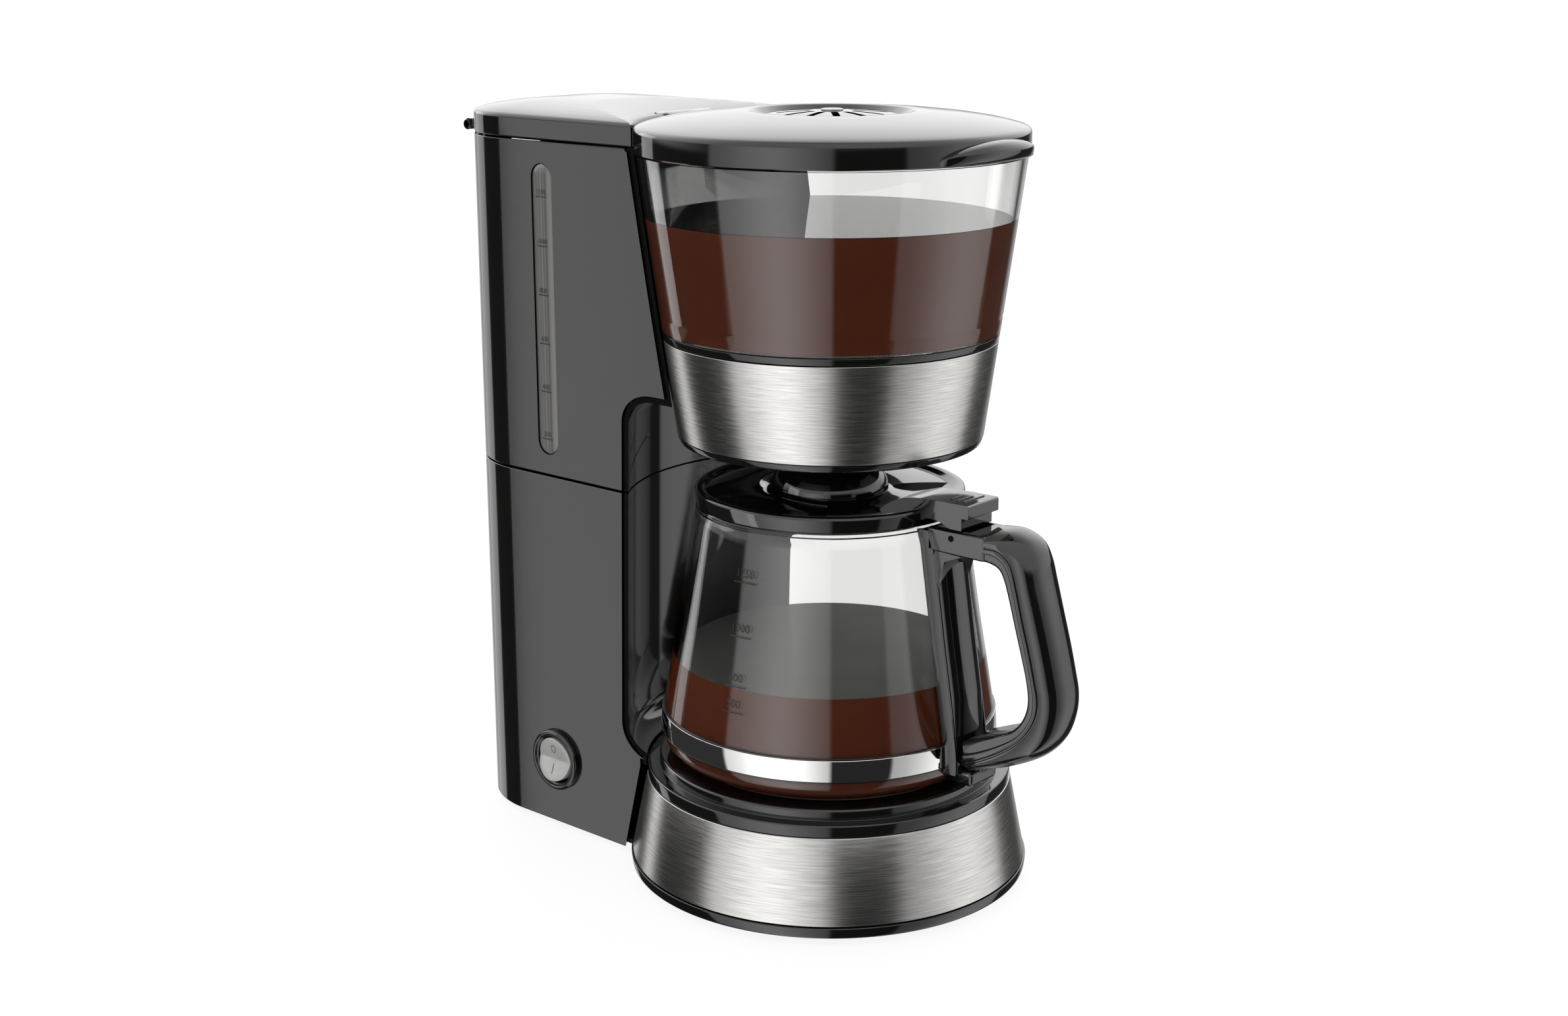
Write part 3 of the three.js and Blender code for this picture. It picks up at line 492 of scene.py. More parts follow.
# -------- tower
def tower_plan(inset, front=20.0):
    """Plan of the tower set in by some distance, its open front at y = front."""
    steps = 28
    side, radius = tower_half - inset, tower_corner - inset
    centre_x, centre_y = tower_half - tower_corner, tower_back - tower_corner
    right = arc((centre_x, centre_y), radius, 0, 90, steps)
    left = arc((-centre_x, centre_y), radius, 90, 180, steps)
    return [(-side, front), (side, front), *right, *left]


def tower_prism(name, inset, z0, z1, mat=GLOSS, front=20.0, edge=0.0):
    rows = edge_rows(z0, z1, edge)
    return loft(name, [[(x, y, z) for x, y in tower_plan(inset + more, front)] for z, more in rows], mat)


def front_space(name, grow):
    """The round space in front of the tower: base, bay with its curved foot and roof, and brew head."""
    foot, roof = 59.8, 190.0
    side, ring_side = base_r(0) + GAP + grow, base_r(base_high) + GAP + grow
    lid_side = lid_radius + 0.6 + grow
    foot_arc = arc((bay_r(foot) - 12, foot), 12 + grow, -72, 0, 10)
    roof_arc = arc((bay_r(roof) - 10, roof), 10 + grow, 0, 90, 10)
    profile = [(0, -5), (side, -5), (side, 0), (ring_side, base_high), (ring_side, foot_arc[0][1]),
               *foot_arc, *roof_arc, (cone_r(200) + 0.8 + grow, 200 + grow),
               (cone_r(299.6) + 0.8 + grow, 299.6), (lid_side, 299.8), (lid_side, 330), (0, 330)]
    return turned(name, profile, closed=False)


def side_panels():
    """The outer shells: the lower housing, and the tank above the seam."""
    lower = tower_prism("lower_shell", 0, tower_bottom, seam_low, PANEL, edge=0.5)
    boolean(lower, tower_prism("hollow", SHELL, tower_bottom - 2, seam_low - SHELL, front=10))
    boolean(lower, front_space("space", FRONT))
    boolean(lower, cross_rod("hole", 12.4, -60, -45, switch_y, switch_z))
    soften(lower, 0.9)
    place(lower, "root", "lower_housing")

    upper = tower_prism("tank_shell", 0, seam_high, tower_top, PANEL, edge=0.5)
    boolean(upper, tower_prism("hollow", SHELL, seam_high + SHELL, tower_top + 5, front=10))
    boolean(upper, front_space("space", FRONT))
    boolean(upper, loft("slot", [gauge_ring(x, GAUGE_HALF + 0.5) for x in (-60, -45)]))
    soften(upper, 0.9)
    place(upper, "root", "upper_housing")


def liners():
    """The concave wall behind the carafe and the brew head, with its rim showing beside the panels."""
    for name, z0, z1, *nodes in (("bay_liner", 43.0, seam_low, "bay_wall"), ("head_liner", seam_high, 300.6)):
        wall = front_space(name, LINER)
        boolean(wall, front_space("space", 0))
        boolean(wall, block("keep", 1.0 - tower_half, tower_half - 1.0, 20, 130, z0, z1), "INTERSECT")
        soften(wall, 0.8)
        place(wall, "root", *nodes)


def gauge_ring(x, radius):
    """Outline at x of a long upright slot with round ends, centred on the level window."""
    top = arc((gauge_y, gauge_high - GAUGE_HALF), radius, 0, 180, 24)
    bottom = arc((gauge_y, gauge_low + GAUGE_HALF), radius, 180, 360, 24)
    return [(x, y, z) for y, z in top + bottom]


def level_window():
    """The bulging smoked strip and its printed scale, in millilitres."""
    bulge = ((1.6, 0.0), (0.25, 0.0), (0.0, 0.5), (-0.25, 1.4), (-0.45, 2.6), (-0.55, 4.2), (-0.6, 5.2))
    rings = [gauge_ring(0.2 - tower_half + depth, GAUGE_HALF - inset) for depth, inset in bulge]
    place(loft("level_window", rings, SMOKE), "root", "gauge_window", slot="gauge_clear")
    face = -tower_half - 0.4
    for i, volume in enumerate(range(200, 1201, 200)):
        z = first_mark + mark_pitch * i
        bar = block(f"level_line_{volume}", face - 0.08, face + 0.3, gauge_y - 2.9, gauge_y + 2.9,
                    z - 0.22, z + 0.22, mat=INK)
        flat, faces = text_points(str(volume), 2.9)
        points = [(face - 0.06, gauge_y - right, z + 1.9 + up) for right, up in flat]
        number = build(f"level_number_{volume}", points, faces, INK)
        for made in (bar, number):
            place(made, "root", slot="gauge_clear")


def text_points(words, size):
    """Flat lettering as triangles: points (right, up) in millimetres about the text's centre."""
    curve = bpy.data.curves.new("words", "FONT")
    curve.body = words
    curve.size = size
    curve.align_x = "CENTER"
    curve.align_y = "CENTER"
    curve.resolution_u = 3
    holder = bpy.data.objects.new("words", curve)
    show(holder)
    bpy.context.view_layer.update()
    mesh = bpy.data.meshes.new_from_object(holder)
    flat = [(v.co.x, v.co.y) for v in mesh.vertices]
    faces = [list(p.vertices) for p in mesh.polygons]
    bpy.data.objects.remove(holder)
    bpy.data.meshes.remove(mesh)
    return flat, faces


# -------- lids
def tank_lid():
    """Flat side band and a softly crowned top, hollow below, cut round the brew head and its hinge."""
    low, edge_top = 301.5, 310.4
    steps = [(low, 0.5), (low + 0.25, 0.12), (low + 0.6, 0.0), (edge_top - 1.2, 0.0), (edge_top - 0.4, 0.2),
             (edge_top + 0.3, 0.8), (edge_top + 0.8, 1.9), (edge_top + 1.5, 4.2), (edge_top + 2.3, 8),
             (edge_top + 3.2, 14), (edge_top + 4.0, 22), (edge_top + 4.5, 30), (edge_top + 4.8, 41)]
    lid = loft("tank_lid_shell", [[(x, y, z) for x, y in tower_plan(inset)] for z, inset in steps])
    boolean(lid, tower_prism("hollow", 2, low - 5, edge_top - 2, front=10))
    sweep = [(78.8, 309.6), (79.3, 310.6), (80.6, 311.2), (84, 311.8), (90, 312.6), (97, 313.4), (105, 314.2),
             (114, 314.9), (126, 315.6)]
    front = [(0, 290), (78.8, 290), *sweep, (126, 320), (0, 320)]
    boolean(lid, turned("front", front, closed=False, sharp=60))
    boolean(lid, block("knuckle_gap", -13.4, 13.4, 70, 82.2, 295, 320))
    boolean(lid, block("rear_gap", -9.4, 9.4, 174, 190, 295, 330))
    soften(lid, 0.5, 2, 45)
    y, z = tank_hinge
    barrels = []
    for x0, x1 in ((-31, -9.4), (9.4, 31)):
        barrels.append(cross_rod("barrel", 2.3, x0, x1, y, z))
        barrels.append(block("leaf", x0 + 0.2, x1 - 0.2, y - 4.3, y + 0.2, z - 0.6, z + 2.7, 0.4))
    place(join("tank_lid_cover", lid, *barrels), "tank_lid", "tank_lid")
    knuckle = cross_rod("knuckle", 2.8, -8.9, 8.9, y, z)
    arm = block("arm", -8.9, 8.9, y - 4.8, y + 0.2, z - 8.6, z, 0.6)
    place(join("tank_hinge_knuckle", knuckle, arm), "root")


def brew_lid():
    """Round lid: side band, crowned top and the recess of the vent, with a finger lip at the front."""
    r = lid_radius
    outer = [(r - 0.3, lid_low), (r, lid_low + 0.4), (r, lid_top - 1.3), (r - 0.25, lid_top - 0.4),
             (r - 0.9, lid_top + 0.35), (r - 2.2, lid_top + 0.95), (r - 5, lid_top + 1.75),
             (r - 10, lid_top + 2.9), (r - 18, lid_top + 4.2), (r - 28, lid_top + 5.35),
             (r - 38, lid_top + 6.1), (34, 316.15), (32.2, 316.1), (31.1, 315.7), (28.6, 313.5),
             (27.7, 313.1), (27.4, 312.2), (26, 312.2), (26, 310.6)]
    inner = [(40, 311.6), (r - 20, 310.6), (r - 6, lid_top - 0.8), (r - 2, lid_top - 2.2), (r - 2, lid_low)]
    y, z = brew_hinge
    knuckle = cross_rod("knuckle", 1.1, -8.6, 8.6, y, z)
    leaf = block("leaf", -8.5, 8.5, y - 4, y + 0.2, z - 2.4, z, 0.4)
    lid = join("brew_lid_cover", turned("brew_lid_shell", outer + inner), finger_lip(), knuckle, leaf)
    place(lid, "brew_lid", "brew_lid")
    for side, middle in (("left", -11.1), ("right", 11.1)):
        x0, x1 = middle - 2, middle + 2
        place(block(f"brew_hinge_ear_{side}", x0, x1, y - 1.4, y + 1.4, z - 15.8, z + 0.8, 0.7), "root")


def finger_lip():
    """A rounded thumb lip that swells out of the front of the band."""
    rings, half, steps = [], 22.5, 48
    start = lid_radius - 1.0
    for k in range(steps + 1):
        turn = math.radians(-88 - half + 2 * half * k / steps)
        share = math.sin(math.pi * k / steps)
        out = 0.4 + 8.2 * share ** 0.62
        top = 302.0 + 6.9 * share ** 0.5
        section = [(start, top + 0.1), (start + 0.45 * out, top - 0.1), (start + 0.75 * out, top - 0.7),
                   (start + 0.93 * out, top - 1.9 * share - 0.2), (start + out, top - 3.6 * share - 0.3),
                   (start + 0.94 * out, 300.8 + 1.9 * share), (start + 0.75 * out, 300.7 + 0.8 * share),
                   (start + 0.4 * out, 300.7), (start, 300.7)]
        rings.append([(q * math.cos(turn), q * math.sin(turn), z) for q, z in section])
    return loft("finger_lip", rings, sharp=60)


def vent_grille():
    """Slotted disc in the lid's recess: twelve radial slots round a raised centre."""
    rim = 26
    dome = [(r, 316.0 - 1.4 * (r / rim) ** 2) for r in (rim, 24, 21, 18, 15, 12, 9, 6, 3, 0)]
    disc = turned("vent_disc", [(0, 313.2), (rim + 0.6, 313.2), (rim + 0.6, 314.3), *dome], closed=False)
    slots = []
    for i in range(12):
        slot = block("slot", 8.4, 22.0, -1.45, 1.45, 309, 318, 1.2)
        turn_about(slot, (0, 0, 0), 30 * i + 15, "Z")
        slots.append(slot)
    boolean(disc, join("slots", *slots))
    place(disc, "brew_lid", "vent_grille")
    floor_profile = [(0, 308.8), (27.0, 308.8), (27.0, 309.4), (0, 309.4)]
    place(turned("vent_floor", floor_profile, MATTE, closed=False), "brew_lid")
    cap_profile = [(0, 316.0), (4.4, 316.0), (4.4, 316.35), (4.0, 316.6), (0, 316.7)]
    place(turned("vent_cap", cap_profile, SILVER, closed=False), "brew_lid")


# -------- base
def soft_ring(name, corners, radii, steps, mat=GLOSS, **options):
    """A turned piece whose profile has its corners rounded."""
    return turned(name, rounded(corners, radii, steps), mat, **options)


def tower_gap():
    """The tower's room between the ends of the base's rings."""
    return block("tower_gap", -tower_half - GAP, tower_half + GAP, 30, 120, -10, 60)


def base():
    ring = soft_ring("base_ring",
                     [(60.2, 42.5), (76.1, 42.5), (76.1, 47.4), (71.0, 47.4), (71.0, 52), (60.2, 52)],
                     [0.3, 0.3, 0.9, 0.25, 1.4, 0.8], 5)
    place(ring, "root", "base_top_ring")

    band = steel_ring("base_band", base_r, base_low, base_high)
    boolean(band, tower_gap())
    place(band, "root", "base_steel_band", slot="steel_band")

    foot_r = span("base_foot_ring")[1]
    foot = soft_ring("foot_ring",
                     [(foot_r - 2.5, 3.0), (foot_r - 0.4, 3.0), (foot_r, 7.5), (foot_r - 2.5, 7.5)],
                     [0.3, 1.6, 0.5, 0.2], 4)
    boolean(foot, tower_gap())
    place(foot, "root", "base_foot_ring")

    plate = soft_ring("warming_plate", [(0, 49.8), (57.6, 49.8), (57.6, 52), (0, 52)], [0, 0.3, 0.6, 0], 4,
                      PLATE, closed=False)
    place(plate, "root", "hot_plate", slot="plate_coat")
    seal = soft_ring("plate_seal", [(57.95, 46.4), (59.85, 46.4), (59.85, 51.4), (57.95, 51.4)], 0.4, 3,
                     SILICONE)
    place(seal, "root", "hot_plate_seal", slot="silicone")


def steel_ring(name, radius_at, low, high):
    """A band of sheet steel on a cone."""
    thick = 0.6
    low_r, high_r = radius_at(low), radius_at(high)
    corners = [(low_r - thick, low), (low_r, low), (high_r, high), (high_r - thick, high)]
    return soft_ring(name, corners, 0.28, 3, STEEL)


# -------- brew head
def brew_head():
    low_r = cone_r(steel_low)
    lower = soft_ring("head_ring", [(low_r - 4, 184.8), (low_r - 1.1, 184.8), (low_r - 0.15, steel_low - 0.3),
                                    (low_r - 4, steel_low - 0.3)], [0.3, 1.1, 0.2, 0.2], 4)
    place(lower, "root", "head_lower_ring")
    band = steel_ring("head_band", cone_r, steel_low, steel_high)
    place(band, "root", "head_steel_band", slot="steel_band")

    low, high = steel_high + GAP, glass_low - GAP
    trim = soft_ring("funnel_ring", [(cone_r(227) - 3.6, low), (cone_r(227) - 0.1, low), (cone_r(230), high),
                                     (cone_r(230) - 3.6, high)], 0.5, 4)
    place(trim, "root", "funnel_trim")

    groove = 0.14
    outer = [(cone_r(glass_low), glass_low), (cone_r(235.4), 235.4), (cone_r(236.2) - groove, 236.2),
             (cone_r(237) - groove, 237), (cone_r(237.8), 237.8), (cone_r(glass_high), glass_high)]
    inner = [(cone_r(glass_high) - funnel_wall, glass_high), (cone_r(glass_low) - funnel_wall, glass_low)]
    glass = turned("funnel_wall", outer + inner, GLASS, sharp=40)
    boolean(glass, block("pipe_gap", -4.8, 4.8, 60, 90, 290.6, 305))
    place(glass, "root", "funnel_glass", slot="clear_glass")

    inside = SKIN - funnel_wall
    brew = turned("brewing_coffee", [(0, 231), (cone_r(231) + inside, 231),
                                     (cone_r(funnel_level) + inside, funnel_level), (0, funnel_level)],
                  COFFEE, closed=False)
    place(brew, "root", slot="clear_glass")
    skin = liquid_skin("brewing_surface", cone_r(funnel_level) + inside, funnel_level, COFFEE_TOP)
    place(skin, "root", slot="clear_glass")


def liquid_skin(name, radius, level, mat):
    """The top of a liquid, as a thin disc of its own."""
    high, low = level + 0.05, level - 0.2
    return turned(name, [(0, high), (radius, high), (radius, low), (0, low)], mat, closed=False)


# -------- switch
def rocker_depth(height):
    """How far the rocker's face stands out at a height above its middle: a shallow V."""
    return 1.5 + 0.26 * abs(height)


def switch():
    """Round bezel and a silver rocker with a V-shaped face, tilted so that its top half is pressed in."""
    profile = rounded([(10.6, -5), (12.0, -5), (12.0, 0.2), (13.6, 0.2), (13.6, 1.9), (12.9, 2.7),
                       (11.7, 2.7), (11.3, 1.7), (10.6, 1.5)], [0, 0, 0, 0.1, 0.9, 0.8, 0.6, 0.4, 0.3], 5)
    points, faces = lathe(profile, 96)
    bezel = build("switch_ring", [(-tower_half - z, switch_y + x, switch_z + y) for x, y, z in points], faces)
    place(bezel, "root", "switch_bezel")

    rings = []
    for sunk, r in ((None, ROCKER), (0.7, ROCKER), (0.3, ROCKER - 0.12), (0.08, ROCKER - 0.35),
                    (0.0, ROCKER - 0.7), (0.0, ROCKER * 0.7), (0.0, ROCKER * 0.45), (0.0, ROCKER * 0.2),
                    (0.0, 0.2)):
        ring = []
        for a, b in arc((0, 0), r, 0, 356.25, 95):
            depth = -4.8 if sunk is None else rocker_depth(b) - sunk
            ring.append((-tower_half - depth, switch_y + a, switch_z + b))
        rings.append(ring)
    button = loft("rocker_button", rings, SILVER, sharp=40)
    marks = [mark_ring(4.7), mark_bar(-4.3)]
    for made in (button, *marks):
        turn_about(made, (-48.6, switch_y, switch_z), 5, "Y")
    place(button, "switch", "switch_rocker", slot="switch_silver")
    for made in marks:
        place(made, "switch", slot="switch_silver")


def rocker_point(across, height):
    return (-tower_half - rocker_depth(height) - 0.04, switch_y + across, switch_z + height)


def mark_ring(height):
    sides = 48
    turns = np.linspace(0, 2 * math.pi, sides, endpoint=False)
    points = [rocker_point(across * math.cos(t), height + up * math.sin(t))
              for across, up in ((1.35, 1.75), (1.05, 1.4)) for t in turns]
    faces = [[k, (k + 1) % sides, sides + (k + 1) % sides, sides + k] for k in range(sides)]
    return build("rocker_mark_off", points, faces, INK)


def mark_bar(height):
    corners = [(-0.2, -2.2), (0.2, -2.2), (0.2, 2.2), (-0.2, 2.2)]
    return build("rocker_mark_on", [rocker_point(a, height + b) for a, b in corners], [[0, 1, 2, 3]], INK)


# -------- carafe
GLASS_SIDE = [(0, 52.4), (52, 52.4), (58.5, 52.7), (63.2, 53.6), (66.6, 55.6), (68.7, 58.8), (69.4, 62.6),
              (69.3, 67), (68.9, 71.6), (67.6, 80), (64.5, 98.6), (61.9, 114), (59.3, 131), (57.4, 143),
              (56, 152), (54.9, 155.6), (54.2, 158)]


def smooth_profile(points, steps=6):
    """A Catmull-Rom curve through profile points."""
    made = []
    padded = [points[0]] + points + [points[-1]]
    for i in range(1, len(padded) - 2):
        p0, p1, p2, p3 = (Vector(padded[i + k]) for k in (-1, 0, 1, 2))
        for k in range(steps):
            t = k / steps
            made.append(tuple(0.5 * (2 * p1 + (p2 - p0) * t + (2 * p0 - 5 * p1 + 4 * p2 - p3) * t * t
                                     + (3 * p1 - p0 - 3 * p2 + p3) * t ** 3)))
    made.append(tuple(points[-1]))
    return made


def carafe_radius(z):
    side = smooth_profile(GLASS_SIDE[2:])
    return float(np.interp(z, [p[1] for p in side], [p[0] for p in side]))


def carafe():
    """The glass with its rim, the coffee in it, the mirror band between two dark edges, and the scale."""
    outer = [GLASS_SIDE[0]] + smooth_profile(GLASS_SIDE[1:], 8)
    inner = [(carafe_radius(z) - carafe_wall, z) for z in np.linspace(158, 58, 60)]
    floor_inside = [(64.2, 56.6), (61, 55.4), (56, 54.9), (0, 54.8)]
    rim = arc((53.05, 158), 1.15, 0, 180, 8)
    glass = turned("carafe_wall", outer[:-1] + rim + inner[1:] + floor_inside, GLASS, closed=False, sharp=50)
    place(glass, "carafe", "carafe_glass", slot="clear_glass")

    side = [(carafe_radius(z) - carafe_wall + SKIN, z) for z in np.linspace(58, carafe_level, 24)]
    foot = [(0, 54.7), (56, 54.8), (61.1, 55.3), (64.3, 56.5)]
    body = turned("carafe_coffee", foot + side + [(0, carafe_level)], COFFEE, closed=False, sharp=60)
    # The surface disc carries the painted reflection on the coffee's top.
    skin = liquid_skin("carafe_surface", side[-1][0], carafe_level, COFFEE_PAINTED_SHEEN)
    for made in (body, skin):
        place(made, "carafe", slot="clear_glass")

    low, high = 63.2, 71.8
    low_r, high_r = carafe_radius(low) + 0.35, carafe_radius(high) + 0.35
    band = soft_ring("mirror_ring", [(low_r, low), (low_r + 0.5, low), (high_r + 0.5, high), (high_r, high)],
                     0.2, 3, CHROME)
    place(band, "carafe", "carafe_band", slot="chrome_band")
    for side_name, z in (("low", low - 0.35), ("high", high + 0.35)):
        near, far = carafe_radius(z) - 0.1, carafe_radius(z) + 0.75
        edge = soft_ring(f"mirror_edge_{side_name}", [(near, z - 0.4), (far, z - 0.4), (far, z + 0.25),
                                                      (near, z + 0.25)], 0.25, 3)
        place(edge, "carafe")
    gasket = soft_ring("rim_gasket", [(54.3, 157.0), (55.0, 157.0), (55.0, 157.5), (54.3, 157.5)], 0.2, 3)
    place(gasket, "carafe")
    for volume, z in ((500, 86.2), (600, 96.4), (1000, 116.0), (1250, 137.4)):
        carafe_mark(volume, z)


def carafe_mark(volume, z):
    """A printed line and number on the glass, wrapped round it at the left of the handle."""
    turn = math.radians(-175)
    points, faces = [], []

    def wrap(flat, height, cells):
        start = len(points)
        for right, up in flat:
            radius = carafe_radius(height + up) + 0.06
            angle = turn + right / radius
            points.append((radius * math.cos(angle), radius * math.sin(angle), height + up))
        faces.extend([[start + i for i in cell] for cell in cells])

    flat, cells = text_points(str(volume), 4.6)
    wrap(flat, z + 3.4, cells)
    line = [(right, up) for up in (-0.22, 0.22) for right in np.linspace(-5.2, 5.2, 9)]
    wrap(line, z, [[i, i + 1, i + 10, i + 9] for i in range(8)])
    made = build(f"carafe_mark_{volume}", points, faces, FAINT)
    place(made, "carafe", slot="clear_glass")


# -------- handle
# Matching stations round the grip in (Y, Z): inner edge, the seam of cover and shell, outer edge.
GRIP = [
    ((-84.0, 150.4), (-85.0, 156.5), (-85.0, 162.6)), ((-87.5, 150.2), (-91.5, 156.4), (-93.5, 163.0)),
    ((-91.4, 148.9), (-96.2, 153.6), (-102.0, 159.6)), ((-94.0, 145.3), (-98.6, 149.8), (-106.2, 152.8)),
    ((-96.7, 137.6), (-101.0, 142.6), (-108.7, 144.5)), ((-99.9, 126.8), (-104.1, 131.0), (-112.2, 132.8)),
    ((-103.3, 115.5), (-107.6, 119.2), (-115.9, 120.0)), ((-105.6, 107.2), (-110.3, 108.8), (-118.6, 109.5)),
    ((-106.7, 99.5), (-112.1, 100.8), (-120.3, 101.2)), ((-105.6, 93.6), (-111.5, 94.2), (-119.9, 92.8)),
    ((-102.6, 88.4), (-108.4, 87.6), (-116.8, 83.6)), ((-98.3, 84.7), (-102.9, 81.2), (-109.8, 75.6)),
    ((-91.6, 81.6), (-94.4, 74.8), (-98.6, 69.2)), ((-84.5, 78.7), (-84.7, 69.3), (-87.5, 64.9)),
    ((-77.0, 75.6), (-78.5, 66.9), (-80.5, 62.4)),
]


def mirrored(half_section):
    """A section completed by its mirror image across x = 0."""
    return half_section + [(-x, other) for x, other in reversed(half_section)]


def ribbon(name, near, far, section, sharp=45):
    """A section of (x, share) points carried along two matching curves; share 0 lies on near and 1 on far."""
    rings = []
    for a, b in zip(near, far):
        rings.append([(x, a[0] + (b[0] - a[0]) * w, a[1] + (b[1] - a[1]) * w) for x, w in section])
    return loft(name, rings, sharp=sharp)


def handle():
    """The grip: a rounded cover outside and a stepped shell inside, joined along one seam."""
    inner, seam, outer = [smooth_profile([station[k] for station in GRIP], 7) for k in range(3)]
    turns = np.linspace(0, math.pi, 41)
    cover_section = [(-HALF + 0.6, 0.0)]
    for t in turns:
        bow = math.copysign(abs(math.cos(t)) ** 0.9, math.cos(t))
        cover_section.append((-(HALF + 0.2) * bow, 0.05 + 0.95 * math.sin(t) ** 0.95))
    cover_section.append((HALF - 0.6, 0.0))
    cover = ribbon("grip_cover", seam, outer, cover_section)
    side = [(-9.2, 0.0), (-9.9, 0.04), (-10.4, 0.13), (-10.55, 0.25), (-10.55, 0.56), (-11.1, 0.60),
            (-11.25, 0.66), (-11.25, 0.84), (-11.1, 0.90), (-10.5, 0.94), (-10.5, 1.0)]
    shell = ribbon("grip_shell", inner, seam, mirrored(side), sharp=50)
    place(join("grip_loop", cover, shell), "carafe", "handle_grip")
    strap()


def strap():
    """The strap against the glass with its side flanges, the bar over the fingers and the foot clip."""
    rings = []
    for z in np.linspace(60.5, 158.4, 60):
        inner = carafe_radius(z) + 1.3
        belly = 1.0 if z > 92 else max(0.2, (z - 62) / 30) ** 0.7
        edge = inner + 2.0
        left = [(-HALF, 2.2 - inner), (-HALF, -edge - 1.1), (-HALF + 0.35, -edge - 1.6),
                (-HALF + 0.95, -edge - 1.6), (-HALF + 1.25, -edge - 1.0)]
        swell = []
        for t in np.linspace(0.0, math.pi, 25):
            swell.append(((1.5 - HALF) * math.cos(t), -edge - 0.6 - 4.9 * belly * math.sin(t) ** 0.95))
        back = [(x, -math.sqrt(inner ** 2 - x ** 2)) for x in (HALF - 2, 0, 2 - HALF)]
        outline = left + swell + [(-x, y) for x, y in reversed(left)] + back
        rings.append([(x, y, z) for x, y in outline])
    body = loft("strap_body", rings, sharp=38)

    bar = block("bar", -HALF, HALF, -85.8, -58.0, 150.4, 160.3, 1.2)
    boolean(bar, block("slot", -8.4, 8.4, -76.6, -50, 153.4, 170))
    room = [(0, 140), (carafe_radius(150) + 1.3, 140), (55.8, 152), (55.6, 170), (0, 170)]
    boolean(bar, turned("room", room, closed=False))
    soften(bar, 0.4, 2, 50)
    half_section = [(-HALF + 0.3, 0.0), (-HALF + 0.3, 0.9), (-HALF + 1.2, 1.0)]
    web = ribbon("web", [(-62, 151), (-60.4, 144), (-61.2, 136)],
                 [(-76, 150.6), (-66.8, 147.4), (-63.4, 136)], mirrored(half_section), sharp=60)
    foot = block("foot", -8.5, 8.5, -80.5, -66, 56.2, 62.5, 1.6)
    tongue = block("tongue", -6.5, 6.5, -84, -74, 62.5, 68.5, 1.4)
    place(join("handle_strap", body, bar, web, foot, tongue), "carafe", "handle_frame")
    for side, x0, x1 in (("left", -10.9, -11.15), ("right", 10.9, 11.15)):
        cap = cross_rod(f"pin_cap_{side}", 1.25, x0, x1, *carafe_hinge, 0.05)
        place(cap, "carafe", slot="pin_steel")


# -------- carafe lid
def carafe_lid():
    """Rim band, moat, raised rear hood, black dome and the lever with its thumb pad."""
    dome_foot = 164.4
    dome = [(24 * across, dome_foot + 16 * up) for across, up in arc((0, 0), 1, 0, 90, 12)]
    rim = [(0, 178.2), (14, 174.6), (21, 166.4), (22.4, 162), (32, 160.4), (46, 160.4), (49.8, 159.2),
           (54.2, 159.2), (54.7, 159.6), (55.2, 164.2), (54.9, 165.2), (54.0, 165.7), (52.6, 165.7),
           (51.6, 165.2), (50.2, 163.6), (46.5, 162.6), (34, 162.4), (26.5, 163.2), (24.4, dome_foot)]
    saucer = turned("lid_saucer", rim + dome, closed=False, sharp=45)
    y, z = carafe_hinge
    lug = cross_rod("lug", 3.4, -8.0, 8.0, y, z, 0.5)
    neck = block("neck", -8.0, 8.0, y - 3.2, y + 2.8, z + 0.2, z + 4.3, 0.5)
    pieces = [saucer, hood_shell(), lid_arm(), lug, neck]
    for y, x0, x1 in ((-65.6, -5.4, 1.0), (-69.0, -6.4, 4.0), (-72.0, -6.4, 7.2)):
        pieces.append(block("ridge", x0, x1, y - 0.35, y + 0.35, 170.7, 171.55, 0.25))
    place(join("carafe_lid_cover", *pieces), "carafe_lid", "carafe_lid")


def hood_shell():
    """The raised part of the lid behind the dome: it swells from the moat up over the spout."""
    rings, steps = [], 60
    for k in range(steps + 1):
        turn = math.radians(-38 + 256 * k / steps)
        share = min(1.0, math.sin(math.pi * k / steps) * 2.2)
        lift = 1.5 * share
        section = [(25.2, 162.9), (27, 163.6 + 0.8 * lift), (31, 164.2 + lift), (38, 164.2 + 1.0 * lift),
                   (45, 163.9 + 0.88 * lift), (50, 163.5 + 0.62 * lift), (52.6, 163.2 + 0.36 * lift),
                   (53.6, 162.8), (50, 161.6), (30, 161.6)]
        rings.append([(r * math.cos(turn), r * math.sin(turn), z) for r, z in section])
    return loft("lid_hood", rings, sharp=50)


def lid_arm():
    """The lever: a flat-topped bridge from the dome over the rim, with a thumb pad over the handle's bar."""
    outline = [(-33.4, 162.2), (-36.4, 164.8), (-39.6, 166.7), (-42.6, 168.2), (-45.7, 169.2), (-50, 170.1),
               (-54.8, 170.6), (-64.7, 171.0), (-76.2, 171.1), (-77.0, 170.5), (-77.0, 166.0), (-76.6, 165.6),
               (-73.9, 165.6), (-73.9, 160.6), (-68.6, 160.6), (-66.8, 161.0), (-64.8, 162.1), (-62.4, 162.8),
               (-59.6, 163.1), (-56.8, 162.9), (-55.4, 162.0), (-46, 162.0), (-33.4, 162.0)]
    arm = loft("lid_arm", [[(x, y, z) for y, z in outline] for x in (-10, 10)], sharp=40)
    return soften(arm, 0.55, 3, 40)


